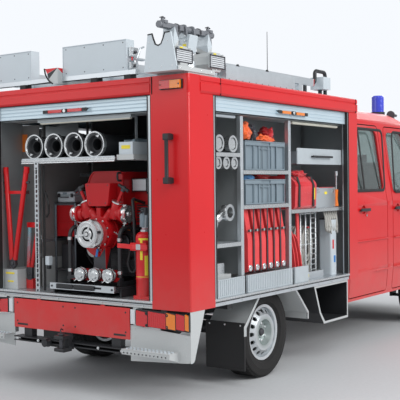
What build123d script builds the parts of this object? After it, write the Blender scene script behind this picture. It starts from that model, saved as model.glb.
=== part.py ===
from build123d import *
import os

# Small fire engine: van chassis with a crew cab and a box body with roller shutters.
# Millimetres. X runs forward from the rear face of the body, Y to the left, Z up from
# the ground. save() then moves every piece so that X = 0 is half way along the vehicle.
# Pieces of the cab are drawn with X from the cab's own rear face and set in place last.

# Box body
body_length = 2625
body_half_width = 1100
body_bottom = 680
body_top = 2285
wall = 25
corner_length = 300
corner_width = 325
corner_radius = 14
front_post_length = 175
rail_height = 127
rail_depth = 60
rail_proud = 5
roof_thickness = 25
floor_rise = 50
floor_thickness = 30
lining = 15

# Crew cab
cab_gap = 55
cab_half_width = 966
cab_wall = 50
cab_bottom = 430
cab_floor = 720
cab_nose = 3115
skin = 20
door_gap = 10
inner_gap = 15
door_bottom = 455
door_top = 2105
arch_radius = 425
glass_thickness = 6
glass_inset = 12

# Wheels and axles
rear_axle_x = 1275
front_axle_in_cab = 2145
wheel_centre_y = 815
tyre_radius = 356
tyre_width = 235
rim_seat_radius = 203
rim_lip_radius = 221
rim_width = 178
spindle_radius = 30
running_gap = 0.1
kingpin_y = 690
kingpin_radius = 16
vent_holes = 16
vent_hole_radius = 17
vent_circle_radius = 166

# Chassis
rail_y = 430
rail_width = 60
rail_bottom = 480
rail_top = 620
member_width = 70

# Light mast
mast_x = 195
mast_y = -950
mast_base_radius = 62
mast_wall = 4
mast_step = 10
mast_foot = 760
mast_rise = 75
head_rise = 250
bar_length = 640
bar_radius = 22

# Pump
pump_y = -133
pump_z = 1180
volute_x = 185
volute_width = 78
volute_start = 118
volute_growth = 14
cowl_x = 272

# Places that follow from the sizes above
cab_x = body_length + cab_gap
front_axle_x = cab_x + front_axle_in_cab
nose_x = cab_x + cab_nose
floor_top = body_bottom + floor_rise
rail_low = body_top - rail_height
corner_in = body_half_width - corner_width
bay_front = body_length - front_post_length
house_reach = 430
house_top = floor_top + 120
post_depth = 40
post_1_x = rear_axle_x - 547
post_2_x = rear_axle_x + 175
mast_base_top = body_top + mast_rise
head_height = mast_base_top + head_rise
rear_reach = bar_length / 2 - mast_x
middle_x = (nose_x - rear_reach) / 2


def box(x0, x1, y0, y1, z0, z1):
    return Pos((x0 + x1) / 2, (y0 + y1) / 2, (z0 + z1) / 2) * Box(x1 - x0, y1 - y0, z1 - z0)


def rod_x(x0, x1, y, z, radius):
    return Pos((x0 + x1) / 2, y, z) * (Rot(0, 90, 0) * Cylinder(radius, x1 - x0))


def rod_y(y0, y1, x, z, radius):
    return Pos(x, (y0 + y1) / 2, z) * (Rot(90, 0, 0) * Cylinder(radius, y1 - y0))


def rod_z(z0, z1, x, y, radius):
    return Pos(x, y, (z0 + z1) / 2) * Cylinder(radius, z1 - z0)


def rod(start, end, radius):
    """Round bar between two points."""
    line = Line(start, end)
    return extrude(Plane(origin=line @ 0, z_dir=line % 0) * Circle(radius), line.length)


def bent_rod(points, bend, radius):
    """Round bar along straight runs joined by arcs."""
    path = FilletPolyline(*points, radius=bend)
    return sweep(Plane(origin=path @ 0, z_dir=path % 0) * Circle(radius), path=path)


def pipe_y(y0, y1, x, z, outer, inner):
    return rod_y(y0, y1, x, z, outer) - rod_y(y0 - 1, y1 + 1, x, z, inner)


def outline(points):
    """Closed face from rows of (u, v) or (u, v, corner radius)."""
    corners = [(row[0], row[1]) for row in points]
    radii = [row[2] if len(row) > 2 else 0 for row in points]
    return make_face(FilletPolyline(*corners, radius=radii, close=True))


def plate_y(points, y0, y1):
    """Outline in x, z made solid from y0 to y1."""
    return Pos(0, y1, 0) * extrude(Plane.XZ * outline(points), y1 - y0)


def plate_x(points, x0, x1):
    """Outline in y, z made solid from x0 to x1."""
    return Pos(x0, 0, 0) * extrude(Plane.YZ * outline(points), x1 - x0)


def plate_z(points, z0, z1):
    """Outline in x, y made solid from z0 to z1."""
    return Pos(0, 0, z0) * extrude(outline(points), z1 - z0)


def tray(x0, x1, y0, y1, z0, z1, sheet):
    """Open box of sheet."""
    return box(x0, x1, y0, y1, z0, z1) - box(
        x0 + sheet, x1 - sheet, y0 + sheet, y1 - sheet, z0 + sheet, z1 + 1
    )


def turned_y(section, x, y, z):
    """Section of (radius, y) rows turned about an axis along Y."""
    return Pos(x, y, z) * revolve(Plane.XY * outline(section), Axis.Y)


def turned_x(section, x, y, z):
    """Section of (x, radius) rows turned about an axis along X."""
    return Pos(x, y, z) * revolve(Plane.XY * outline(section), Axis.X)


def turned_z(section, x, y, z):
    """Section of (radius, z) rows turned about an axis along Z."""
    return Pos(x, y, z) * revolve(Plane.XZ * outline(section), Axis.Z)


def flip(shape):
    """The same piece on the other side of the vehicle."""
    return mirror(shape, about=Plane.XZ)


def both(shape):
    return [shape, flip(shape)]


def span(side, near, far):
    """From near to far on one side, side -1 being the right, as (low y, high y)."""
    return sorted((side * near, side * far))


def mirrored(rows):
    """Half an outline given by its right edge, closed by its own mirror image."""
    return rows + [(-row[0],) + tuple(row[1:]) for row in reversed(rows)]


def biggest(shape):
    return max(shape.solids(), key=lambda solid: solid.volume)


def save(name, *shapes, start=0):
    """Writes one node. start is where the pieces' own X = 0 lies on the vehicle."""
    solids = []
    for shape in shapes:
        for item in shape if isinstance(shape, (list, tuple)) else [shape]:
            solids.extend(item.solids())
    whole = Compound(children=[solid.moved(Location((start - middle_x, 0, 0))) for solid in solids])
    whole.label = name
    export_step(whole, "parts/" + name + ".step")
    print(name, len(solids))


# Cab body as three outlines that meet: side, front and plan

cab_side = [
    # x, z, corner radius
    (0, cab_bottom, 20),
    (0, 2235, 70),
    (270, 2285, 500),
    (1270, 2295, 900),
    (1650, 2185, 260),
    (2330, 1400, 120),
    (2910, 1075, 150),
    (3020, 640, 40),
    (2610, 640, 0),
    (2610, cab_bottom, 20),
]
cab_front = mirrored(
    [
        # y, z, corner radius
        (930, 330, 0),
        (cab_half_width, 700, 400),
        (cab_half_width, 1330, 300),
        (850, 2140, 60),
        (745, 2248, 100),
        (400, 2296, 500),
    ]
)
cab_plan = [
    # x, y, corner radius
    (-10, cab_half_width, 0),
    (2270, cab_half_width, 500),
    (2820, 905, 260),
    (3035, 640, 300),
    (3050, 0, 0),
]
cab_plan = cab_plan + [(row[0], -row[1], row[2]) for row in reversed(cab_plan[:-1])]


def cab_form(inset):
    """Outer form of the cab, moved in by inset all round."""
    side = Plane.XZ * outline(cab_side)
    front = Plane.YZ * outline(cab_front)
    plan = outline(cab_plan)
    if inset:
        side = offset(side, -inset)
        front = offset(front, -inset)
        plan = offset(plan, -inset)
    long_side = Pos(0, 1500, 0) * extrude(side, 3000)
    long_front = Pos(-700, 0, 0) * extrude(front, 4500)
    return long_side & long_front & (Pos(0, 0, 100) * extrude(plan, 2500))


arch_z = tyre_radius + 10


def arch_cut(radius, y0, y1):
    return rod_y(y0, y1, front_axle_in_cab, arch_z, radius)


# Outlines of the openings, each row x, z, corner radius
rear_door_edge = [
    (65, door_bottom, 30),
    (65, door_top, 110),
    (935, door_top, 60),
    (935, door_bottom, 40),
]
front_door_edge = [
    (1062, door_bottom, 40),
    (1062, door_top, 60),
    (1570, door_top, 120),
    (2035, 1540, 150),
    (2035, door_bottom, 0),
]
rear_window_edge = [(160, 1460, 50), (160, 2050, 70), (880, 2050, 60), (880, 1460, 50)]
front_window_edge = [
    (1120, 1440, 50),
    (1120, 2045, 60),
    (1535, 2045, 90),
    (1955, 1530, 60),
    (1955, 1440, 40),
]
windscreen_edge = mirrored([(790, 1440, 60), (700, 2120, 80)])
bonnet_edge = [
    # x, y, corner radius
    (2350, -770, 30),
    (2350, 770, 30),
    (2840, 690, 120),
    (2970, 560, 60),
    (2970, -560, 60),
    (2840, -690, 120),
]
bonnet_bottom = 930
bonnet_thickness = 25
bonnet_gap = 5
lamp_edge = [
    # y, z, corner radius
    (-870, 830, 45),
    (-600, 780, 25),
    (-565, 880, 25),
    (-880, 985, 60),
]
grille_edge = mirrored([(540, 660, 30), (535, 890, 40)])
engine_front = 2800


def door_region(edge, gap):
    """Prism of a door, made smaller all round by gap."""
    face = Plane.XZ * outline(edge)
    if gap:
        face = offset(face, -gap)
    region = Pos(0, -600, 0) * extrude(face, 500)
    return region - arch_cut(arch_radius + 20 + gap, -1100, -500)


def window_region(edge, gap):
    face = Plane.XZ * outline(edge)
    if gap:
        face = offset(face, gap)
    return Pos(0, -600, 0) * extrude(face, 500)


def door_handle(x):
    """Pull handle proud of the door skin, over its hollow; x is the handle's middle."""
    grip = plate_z(
        [
            (x - 105, -990, 3),
            (x - 85, -1001, 6),
            (x + 85, -1001, 6),
            (x + 105, -990, 3),
            (x + 98, -983, 0),
            (x - 98, -983, 0),
        ],
        1264,
        1292,
    )
    feet = box(x - 100, x - 70, -992, -955, 1266, 1290) + box(x + 70, x + 100, -992, -955, 1266, 1290)
    return grip + feet


def make_cab():
    outer = cab_form(0)
    under_skin = cab_form(skin)
    inner = cab_form(cab_wall)
    cabin = inner & box(cab_wall, 2250, -1000, 1000, cab_floor, 2400)
    for side in (-1, 1):
        cabin -= arch_cut(arch_radius + 30, *span(side, 440, 1000))
    engine_bay = inner & box(2285, 3020, -660, 660, 440, 1400)
    under = box(60, 1700, -900, 900, 300, cab_floor - 60)
    under += box(-50, 2620, -480, 480, 300, cab_floor - 60)
    under += box(2285, 2960, -480, 480, 300, 900)
    shell = outer - cabin - engine_bay - under
    for side in (-1, 1):
        shell -= arch_cut(arch_radius, *span(side, 480, 1100))
    windscreen_cut = plate_x(windscreen_edge, 1620, 2420)
    bonnet_zone = plate_z(bonnet_edge, bonnet_bottom, 1500)
    lamp_zone = plate_x(lamp_edge, 2620, 3120)
    grille_zone = plate_x(grille_edge, engine_front + 20, 3120)

    skin_in = cab_form(glass_inset)
    skin_deep = cab_form(glass_inset + glass_thickness)
    glass_skin = skin_in - skin_deep
    windscreen = glass_skin & windscreen_cut

    doors = {}
    # name, door edge, window edge, middle of the handle
    for name, edge, window, handle_x in (
        ("rear", rear_door_edge, rear_window_edge, 370),
        ("front", front_door_edge, front_window_edge, 1190),
    ):
        zone = door_region(edge, 0)
        window_zone = window_region(window, 0)
        leaf = (outer - under_skin) & door_region(edge, door_gap)
        leaf += (under_skin - inner) & door_region(edge, inner_gap)
        leaf -= box(0, 2285, -893, -500, 400, cab_bottom + cab_wall + 3)
        hollow = Pos(handle_x, -cab_half_width - 2, 1278) * Sphere(42)
        leaf = leaf - window_zone - hollow + door_handle(handle_x)
        doors[name] = (leaf, glass_skin & window_zone)
        shell = shell - zone - flip(zone)
    bonnet_hole = Pos(0, 0, bonnet_bottom + bonnet_gap) * extrude(
        offset(outline(bonnet_edge), -bonnet_gap), 700
    )
    bonnet = (outer - cab_form(bonnet_thickness)) & bonnet_hole
    lamps = (outer - cab_form(70)) & lamp_zone
    grille = (skin_in - cab_form(40)) & grille_zone
    shell = shell - windscreen_cut - bonnet_zone - grille_zone
    shell = shell - lamp_zone - flip(lamp_zone)
    return shell, windscreen, doors, bonnet, lamps, grille


def build_cab():
    shell, windscreen, doors, bonnet, lamps, grille = make_cab()
    for slot_z in (700, 745, 790, 835):
        grille -= box(2720, 3120, -500, 500, slot_z, slot_z + 26)
    # Gutter along each side of the roof
    shell = biggest(shell)
    gutter = box(90, 1560, -878, -858, 2128, 2140)
    shell = shell + gutter + flip(gutter)
    save("cab_shell", biggest(shell), start=cab_x)
    save("windscreen", biggest(windscreen), start=cab_x)
    save("bonnet", biggest(bonnet), start=cab_x)
    save("headlamps", both(biggest(lamps)), start=cab_x)
    for name, (leaf, glass) in doors.items():
        save("door_" + name + "_right", biggest(leaf), start=cab_x)
        save("door_" + name + "_left", flip(biggest(leaf)), start=cab_x)
        save("door_glass_" + name + "_right", biggest(glass), start=cab_x)
        save("door_glass_" + name + "_left", flip(biggest(glass)), start=cab_x)
    bumper_plan = [
        # x, y, corner radius
        (2616, 985, 0),
        (2920, 955, 200),
        (cab_nose, 640, 320),
        (cab_nose, -640, 320),
        (2920, -955, 200),
        (2616, -985, 0),
    ]
    bumper = plate_z(bumper_plan, 330, 636)
    hollow = offset(outline(bumper_plan), -60)
    bumper -= Pos(-80, 0, 250) * extrude(hollow, 350)
    bumper -= box(2520, 2880, -900, 900, 250, 700)
    bumper -= arch_cut(arch_radius + 20, -1100, 1100)
    bumper -= box(2970, 3220, -380, 380, 400, 470)
    save("front_bumper", biggest(bumper), biggest(grille), start=cab_x)


def build_mirrors():
    arm = box(1880, 1910, -1075, -945, 1475, 1500) + box(1880, 1910, -1075, -945, 1640, 1665)
    head = plate_x(
        [(-1185, 1410, 40), (-1020, 1410, 30), (-1020, 1700, 30), (-1185, 1700, 40)], 1855, 1925
    )
    head += plate_x(
        [(-1165, 1430, 30), (-1040, 1430, 25), (-1040, 1680, 25), (-1165, 1680, 30)], 1925, 1945
    )
    head -= plate_x(
        [(-1173, 1422, 30), (-1032, 1422, 20), (-1032, 1688, 20), (-1173, 1688, 30)], 1850, 1863
    )
    mirror_whole = biggest(head + (arm - cab_form(0)))
    save("mirror_right", mirror_whole, start=cab_x)
    save("mirror_left", flip(mirror_whole), start=cab_x)


# Cab inside

def build_seats():
    seats = []
    # x of the cushion's rear, y from, y to
    for x, y0, y1 in ((1330, 160, 700), (1330, -760, -180), (330, -800, 800)):
        cushion = plate_y([(x, 960, 30), (x, 1080, 40), (x + 460, 1100, 60), (x + 460, 980, 40)], y0, y1)
        back = plate_y(
            [(x - 10, 1060, 20), (x - 150, 1740, 50), (x - 30, 1750, 50), (x + 120, 1090, 30)], y0, y1
        )
        base = box(x + 40, x + 400, y0 + 60, y1 - 60, cab_floor, 1000)
        seats.append(cushion + back + base)
    save("seats", seats, start=cab_x)


def build_dashboard():
    top = plate_y(
        [
            (1880, 1080, 60),
            (1860, 1290, 80),
            (1960, 1390, 60),
            (2245, 1390, 10),
            (2245, 980, 20),
            (2000, 960, 60),
        ],
        -860,
        860,
    )
    top &= cab_form(cab_wall + 2)
    lean = Rot(0, -50, 0)
    column = Pos(1865, 420, 1245) * (lean * Cylinder(28, 300))
    wheel_place = Pos(1750, 420, 1341)
    ring = wheel_place * (lean * Torus(190, 15))
    hub = wheel_place * (lean * (Cylinder(48, 30) + Box(24, 370, 16) + Box(370, 24, 16)))
    save("dashboard", biggest(top), biggest(ring + hub + column - top), start=cab_x)


# Wheels

def make_tyre():
    half = tyre_width / 2
    half_section = [
        # radius, y on the outer side
        (rim_seat_radius + 3, 82),
        (rim_lip_radius + 1, 82),
        (246, 110),
        (290, half),
        (tyre_radius - 20, half - 8),
        (tyre_radius, half - 26),
    ]
    section = [(r, -y) for r, y in half_section] + [(r, y) for r, y in reversed(half_section)]
    return turned_y(section, 0, 0, 0)


def make_rim():
    """Steel wheel with its outside face towards -Y."""
    lip = rim_width / 2
    seat = rim_seat_radius + 2.5
    barrel = rim_seat_radius - 4
    bore = spindle_radius + running_gap
    section = [
        # radius, y
        (rim_lip_radius, -lip),
        (rim_lip_radius, -lip + 5),
        (seat, -lip + 6),
        (seat, lip - 6),
        (rim_lip_radius, lip - 5),
        (rim_lip_radius, lip),
        (barrel, lip - 2),
        (barrel, -38),
        (140, -lip - 4),
        (116, -lip - 6),
        (92, -48),
        (92, -20),
        (bore, -20),
        (bore, -66),
        (44, -74),
        (50, -60),
        (84, -56),
        (104, -lip - 14),
        (142, -lip - 14),
        (barrel, -52),
        (barrel, -lip + 4),
    ]
    rim = turned_y(section, 0, 0, 0)
    hole = rod_y(-160, 10, vent_circle_radius, 0, vent_hole_radius)
    for turn in range(vent_holes):
        rim -= Rot(0, 360 / vent_holes * turn, 0) * hole
    return rim


def build_wheels():
    tyre = make_tyre()
    rim = make_rim()
    for end, x in (("front", front_axle_x), ("rear", rear_axle_x)):
        place = Pos(x, -wheel_centre_y, tyre_radius)
        save("tyre_" + end + "_right", place * tyre)
        save("tyre_" + end + "_left", flip(place * tyre))
        save("rim_" + end + "_right", place * rim)
        save("rim_" + end + "_left", flip(place * rim))


def build_rear_axle():
    spindle_end = wheel_centre_y + 60
    drum_outer = wheel_centre_y
    drum_inner = wheel_centre_y - 100
    axle = rod_y(-spindle_end, spindle_end, rear_axle_x, tyre_radius, spindle_radius)
    axle += rod_y(-drum_inner, drum_inner, rear_axle_x, tyre_radius, 52)
    bowl = [(0, -70), (90, -70, 20), (150, 0, 90), (90, 70, 20), (0, 70)]
    axle += turned_y(bowl, rear_axle_x, 0, tyre_radius)
    springs = []
    for side in (-1, 1):
        axle += rod_y(*span(side, drum_inner, drum_outer), rear_axle_x, tyre_radius, 86)
        leaf = [
            # x, z, corner radius: leaf spring seen from the side
            (rear_axle_x - 650, 545, 8),
            (rear_axle_x - 650, 575, 8),
            (rear_axle_x, 445, 900),
            (rear_axle_x + 650, 575, 8),
            (rear_axle_x + 650, 545, 8),
            (rear_axle_x, 400, 900),
        ]
        springs.append(plate_y(leaf, *span(side, 560, 625)))
    save("rear_axle", axle, springs)


def build_front_axle():
    x = front_axle_x
    pin_low = 250
    pin_high = 470
    arm = 25
    beam = box(x - 80, x + 80, -520, 520, 300, 400)
    for side in (-1, 1):
        beam += box(x - 40, x + 40, *span(side, 500, kingpin_y + 30), pin_low, pin_low + arm)
        beam += box(x - 40, x + 40, *span(side, 500, kingpin_y + 30), pin_high - arm, pin_high)
        beam += box(x - 60, x + 60, *span(side, 490, 520), pin_low, 400)
        beam += box(x - 60, x + 60, *span(side, 480, 510), 390, rail_top)
        beam += rod_z(pin_low, pin_high, x, side * kingpin_y, kingpin_radius)
    save("front_axle", beam)
    knuckle = rod_z(pin_low + arm + 5, pin_high - arm - 5, x, -kingpin_y, 34)
    knuckle += rod_y(-wheel_centre_y - 60, -kingpin_y, x, tyre_radius, spindle_radius)
    knuckle += rod_y(-wheel_centre_y + 25, -kingpin_y + 5, x, tyre_radius, 55)
    knuckle -= rod_z(200, 500, x, -kingpin_y, kingpin_radius + running_gap)
    save("knuckle_right", knuckle)
    save("knuckle_left", flip(knuckle))


# Chassis

def build_chassis():
    rail_end = cab_x + 2560
    web = 8
    fit = web + 0.5
    rails = []
    for side in (-1, 1):
        rail = box(60, rail_end, *span(side, rail_y, rail_y - rail_width), rail_bottom, rail_top)
        rail -= box(
            50,
            rail_end + 10,
            *span(side, rail_y - web, rail_y - rail_width),
            rail_bottom + web,
            rail_top - web,
        )
        rails.append(rail)
    members = []
    for x in (60, 700, 1900, cab_x + 20, cab_x + 820, cab_x + 1620):
        members.append(
            box(x, x + member_width, -rail_y + fit, rail_y - fit, rail_bottom + 20, rail_top - 20)
        )
    members.append(
        box(cab_x + 2220, rail_end, -rail_y + fit, rail_y - fit, rail_bottom + fit, rail_bottom + 38)
    )
    save("chassis_frame", rails, members)
    save("engine_block", box(2310, engine_front, -240, 240, rail_bottom + 45, 1010), start=cab_x)
    tank = plate_x(
        [(-360, 330, 50), (-80, 330, 50), (-80, 470, 30), (-360, 470, 30)], cab_x + 70, cab_x + 770
    )
    exhaust_y = 230
    silencer_x = rear_axle_x + 925
    silencer = rod_x(silencer_x, silencer_x + 480, exhaust_y, 400, 95)
    pipe = rod_x(silencer_x + 480.5, cab_x + 2020, exhaust_y, 400, 28)
    tail = bent_rod(
        [
            (silencer_x - 0.5, exhaust_y, 400),
            (rear_axle_x + 475, exhaust_y, 400),
            (rear_axle_x + 225, exhaust_y, 500),
            (rear_axle_x - 375, exhaust_y, 500),
            (rear_axle_x - 625, exhaust_y, 420),
            (250, exhaust_y, 420),
        ],
        150,
        28,
    )
    shaft = rod_x(rear_axle_x + 152, cab_x + 1920, 0, 430, 34)
    save("underfloor_parts", tank, silencer, pipe, tail, shaft)


# Body

def build_body():
    half = body_half_width
    column_plan = [
        # x, y, corner radius
        (0, -half, corner_radius),
        (0, -corner_in, 0),
        (corner_length, -corner_in, 0),
        (corner_length, -half, 0),
    ]
    column = plate_z(column_plan, body_bottom, rail_low)
    column -= box(
        wall, corner_length - wall, -half + wall, -corner_in - wall, body_bottom + wall, rail_low + 10
    )
    post = box(bay_front, body_length, -half, -half + wall, body_bottom, rail_low)
    front = box(
        body_length - wall, body_length, -half + wall + 0.5, half - wall - 0.5, body_bottom, rail_low
    )
    save("body_walls", both(column), both(post), front)

    # Roof with its stepped rails; the rows are y and z of the side rail's section
    out = -half - rail_proud
    rail = [
        (-half + 8, rail_low),
        (out, rail_low + 20),
        (out, body_top - 50),
        (out + 7, body_top - 46),
        (out + 7, body_top - 40),
        (out + 2, body_top - 36),
        (out + 2, body_top - 10),
        (out + 10, body_top),
        (-half + rail_depth, body_top),
        (-half + rail_depth, rail_low),
    ]
    corner_piece = 140
    side_rail = plate_x(rail, corner_piece, body_length)
    corner_plan = [
        # x, y, corner radius
        (0, -half, corner_radius),
        (0, -corner_in, 0),
        (corner_piece, -corner_in, 0),
        (corner_piece, -half, 0),
    ]
    corner = plate_z(corner_plan, rail_low, body_top)
    corner -= box(wall, 300, -half + wall, -corner_in - wall, rail_low - 10, body_top - roof_thickness)
    rear_rows = [(row[0] + half, row[1]) for row in rail]
    rear_rail = plate_y(rear_rows, -corner_in, corner_in)
    front_rail = box(body_length - rail_depth, body_length, -half + 40, half - 40, rail_low, body_top)
    roof = box(20, body_length - 20, -half + 20, half - 20, body_top - roof_thickness, body_top)
    roof += side_rail + flip(side_rail) + corner + flip(corner) + rear_rail + front_rail
    roof -= rod_z(rail_low - 50, body_top + 100, mast_x, mast_y, mast_base_radius + 0.3)
    save("body_roof", roof)

    # Floor with wheel housings and stepped sills
    side_y = half - 60
    floor_low = floor_top - floor_thickness
    floor = box(corner_length + 0.5, body_length - wall - 0.5, -side_y, side_y, floor_low, floor_top)
    floor += box(0, corner_length + 0.5, -corner_in + 0.5, corner_in - 0.5, floor_low, floor_top)
    sill = [
        # depth behind the outer face, z
        (0, floor_top),
        (0, floor_top - 18),
        (5, floor_top - 22),
        (5, body_bottom),
        (60, body_bottom),
        (60, floor_top),
    ]
    floor += plate_y([(row[0], row[1]) for row in sill], -corner_in + 0.5, corner_in - 0.5)
    side_sill = plate_x([(row[0] - half, row[1]) for row in sill], corner_length + 0.5, bay_front - 0.5)
    floor += side_sill + flip(side_sill)
    house_in = 630
    house_out = 1035
    shell = 15
    x0 = rear_axle_x - house_reach
    x1 = rear_axle_x + house_reach
    for side in (-1, 1):
        floor += box(
            x0 - shell,
            x1 + shell,
            *span(side, house_in - shell, house_out + shell),
            floor_low,
            house_top,
        )
    for side in (-1, 1):
        floor -= box(x0, x1, *span(side, house_in, house_out), 600, house_top - shell)
    # Bearers between chassis rails and floor: x of the rear edge, half length
    bearers = []
    for x, reach in ((100, corner_in - 1), (620, 990), (1790, 698), (2300, 698)):
        bearers.append(box(x, x + member_width, -reach, reach, rail_top, floor_low - 0.5))
    save("body_floor", floor, bearers)


shelf_depth = 475
shelf_out = 1050
shelf_in = shelf_out - shelf_depth
hose_shelf_top = 1745
partition_in = 545


def build_inside():
    """Posts, shelves and partitions of the load space, each a plate of its own."""
    pieces = []
    wall_top = body_top - roof_thickness - 0.5
    # x of each post's rear face, z of its foot
    for x, foot in ((post_1_x, floor_top + 0.5), (post_2_x, house_top + 0.5)):
        pieces += both(box(x, x + post_depth, -1049, -1015, foot, rail_low - 118))
    # x from, x to, z of the top: shelves on each side, with a folded front lip
    for x0, x1, z in (
        (corner_length + 10, post_1_x - 1, 1766),
        (corner_length + 10, post_1_x - 1, 1113),
        (post_1_x + post_depth + 1, post_2_x - 1, 1640),
        (post_1_x + post_depth + 1, post_2_x - 1, 1380),
        (post_2_x + post_depth + 1, body_length - wall - 5, 1325),
    ):
        shelf = box(x0, x1, -shelf_out, -shelf_in, z - 4, z)
        shelf += box(x0, x1, -shelf_out, -shelf_out + 4, z - 26, z)
        shelf += box(x0, x1, -shelf_in - 4, -shelf_in, z - 26, z)
        pieces += both(shelf)
    # ribbed fronts over the wheel housing and of the rear column
    for x0, x1, lean in (
        (post_1_x + post_depth + 2, post_2_x - 2, 0), (corner_length + 27, post_1_x - 2, 0)
    ):
        front = box(x0, x1, -1078, -1062, floor_top + 1, house_top + 12)
        rib = x0 + 12
        while rib < x1 - 20:
            front -= box(rib, rib + 10, -1079, -1074, floor_top + 12, house_top + 4)
            rib += 26
        pieces += both(front)
    cover_x0 = post_2_x + post_depth + 2
    pieces += both(
        box(cover_x0, rear_axle_x + house_reach + 15, -1078, -1062, floor_top + 1, house_top + 12)
    )
    # long partitions behind the side lockers
    pieces += both(
        box(
            900,
            body_length - rail_depth - 1,
            -partition_in - lining,
            -partition_in,
            floor_top + 1,
            wall_top,
        )
    )
    # hose shelf over the pump, hung from the roof by four straps and held by a slotted post
    shelf = box(60, 899, -400, 540, hose_shelf_top - 5, hose_shelf_top)
    shelf += box(60, 64, -400, 540, hose_shelf_top - 22, hose_shelf_top + 8)
    for x in (300, 820):
        shelf += box(x, x + 30, -404, -400, hose_shelf_top - 20, wall_top)
        shelf += box(x, x + 30, 540, 544, hose_shelf_top - 20, wall_top)
    pieces.append(shelf)
    post_end = hose_shelf_top - 22.5
    slotted = box(
        50, 55, 355, 397, floor_top + 1, post_end
    ) + box(50, 85, 392, 397, floor_top + 1, post_end)
    for row in range(24):
        slotted -= box(40, 60, 366, 384, floor_top + 40 + row * 38, floor_top + 60 + row * 38)
    pieces.append(slotted)
    # runners that carry the pump slide
    runner_high = floor_top + 60
    pieces += [
        box(70, 1000, -440, -425, floor_top + 1, runner_high),
        box(70, 1000, 215, 230, floor_top + 1, runner_high),
    ]
    save("body_shelving", pieces)


curtain_thickness = 12
slat_pitch = 26
strip_height = 103
roll_radius = 90


def curtain_rows(face):
    """Section of the hanging curtain, ribbed at each slat; face is the outer depth."""
    top = rail_low - 0.5
    rows = [(face + curtain_thickness, top), (face, top)]
    slat_top = top
    while slat_top - slat_pitch > top - strip_height:
        rows += [
            (face, slat_top - slat_pitch + 4),
            (face + 3, slat_top - slat_pitch + 2),
            (face, slat_top - slat_pitch),
        ]
        slat_top -= slat_pitch
    rows += [(face, top - strip_height), (face + curtain_thickness, top - strip_height)]
    return rows


def handle_bar(u0, u1):
    """Lift bar with a grip at each end, as boxes (u from, u to, depth from, depth to, z from, z to)."""
    z = rail_low - 63
    middle = (u0 + u1) / 2
    return [
        (u0, u1, -6, 10, z - 9, z + 9),
        (u0, u0 + 45, -10, 20, z - 13, z + 13),
        (u1 - 45, u1, -10, 20, z - 13, z + 13),
        (middle - 24, middle + 24, -12, 20, z - 15, z + 15),
    ]


def build_shutters():
    half = body_half_width
    x0 = corner_length
    x1 = bay_front
    guide = 25
    roll_z = rail_low - 8
    roll_in = 72 + roll_radius
    curtain = plate_x(
        [(row[0] - half, row[1]) for row in curtain_rows(22)], x0 + guide + 1, x1 - guide - 1
    )
    for u0, u1, d0, d1, z0, z1 in handle_bar(1205, 1680):
        curtain += box(u0, u1, d0 - half + 4, d1 - half + 4, z0, z1)
    roll = rod_x(x0 + guide + 1, x1 - guide - 1, -half + roll_in, roll_z, roll_radius)
    cover = box(
        x0 + guide + 1,
        x1 - guide - 1,
        -half + 52,
        -half + 270,
        roll_z - roll_radius - 14,
        roll_z - roll_radius - 11,
    )
    guides = [
        box(x0 + 0.5, x0 + guide, -half + 5, -half + 50, floor_top + 1, rail_low - 0.5),
        box(x1 - guide, x1 - 0.5, -half + 5, -half + 50, floor_top + 1, rail_low - 0.5),
    ]
    right = [curtain, roll, cover] + guides
    save("shutter_right", right)
    save("shutter_left", [flip(piece) for piece in right])

    reach = corner_in - guide - 1
    curtain = plate_y([(row[0], row[1]) for row in curtain_rows(22)], -reach, reach)
    for u0, u1, d0, d1, z0, z1 in handle_bar(-199, 242):
        curtain += box(d0 + 4, d1 + 4, u0, u1, z0, z1)
    roll = rod_y(-reach, reach, roll_in, roll_z, roll_radius)
    cover = box(52, 270, -reach, reach, roll_z - roll_radius - 14, roll_z - roll_radius - 11)
    cover += box(70, 120, -547, 374, roll_z - roll_radius - 34, roll_z - roll_radius - 14)
    cover += rod_y(-530, 357, 95, roll_z - roll_radius - 36, 13)
    guides = both(box(5, 50, -corner_in + 0.5, -corner_in + guide, floor_top + 1, rail_low - 0.5))
    save("shutter_rear", curtain, roll, cover, guides)


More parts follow.
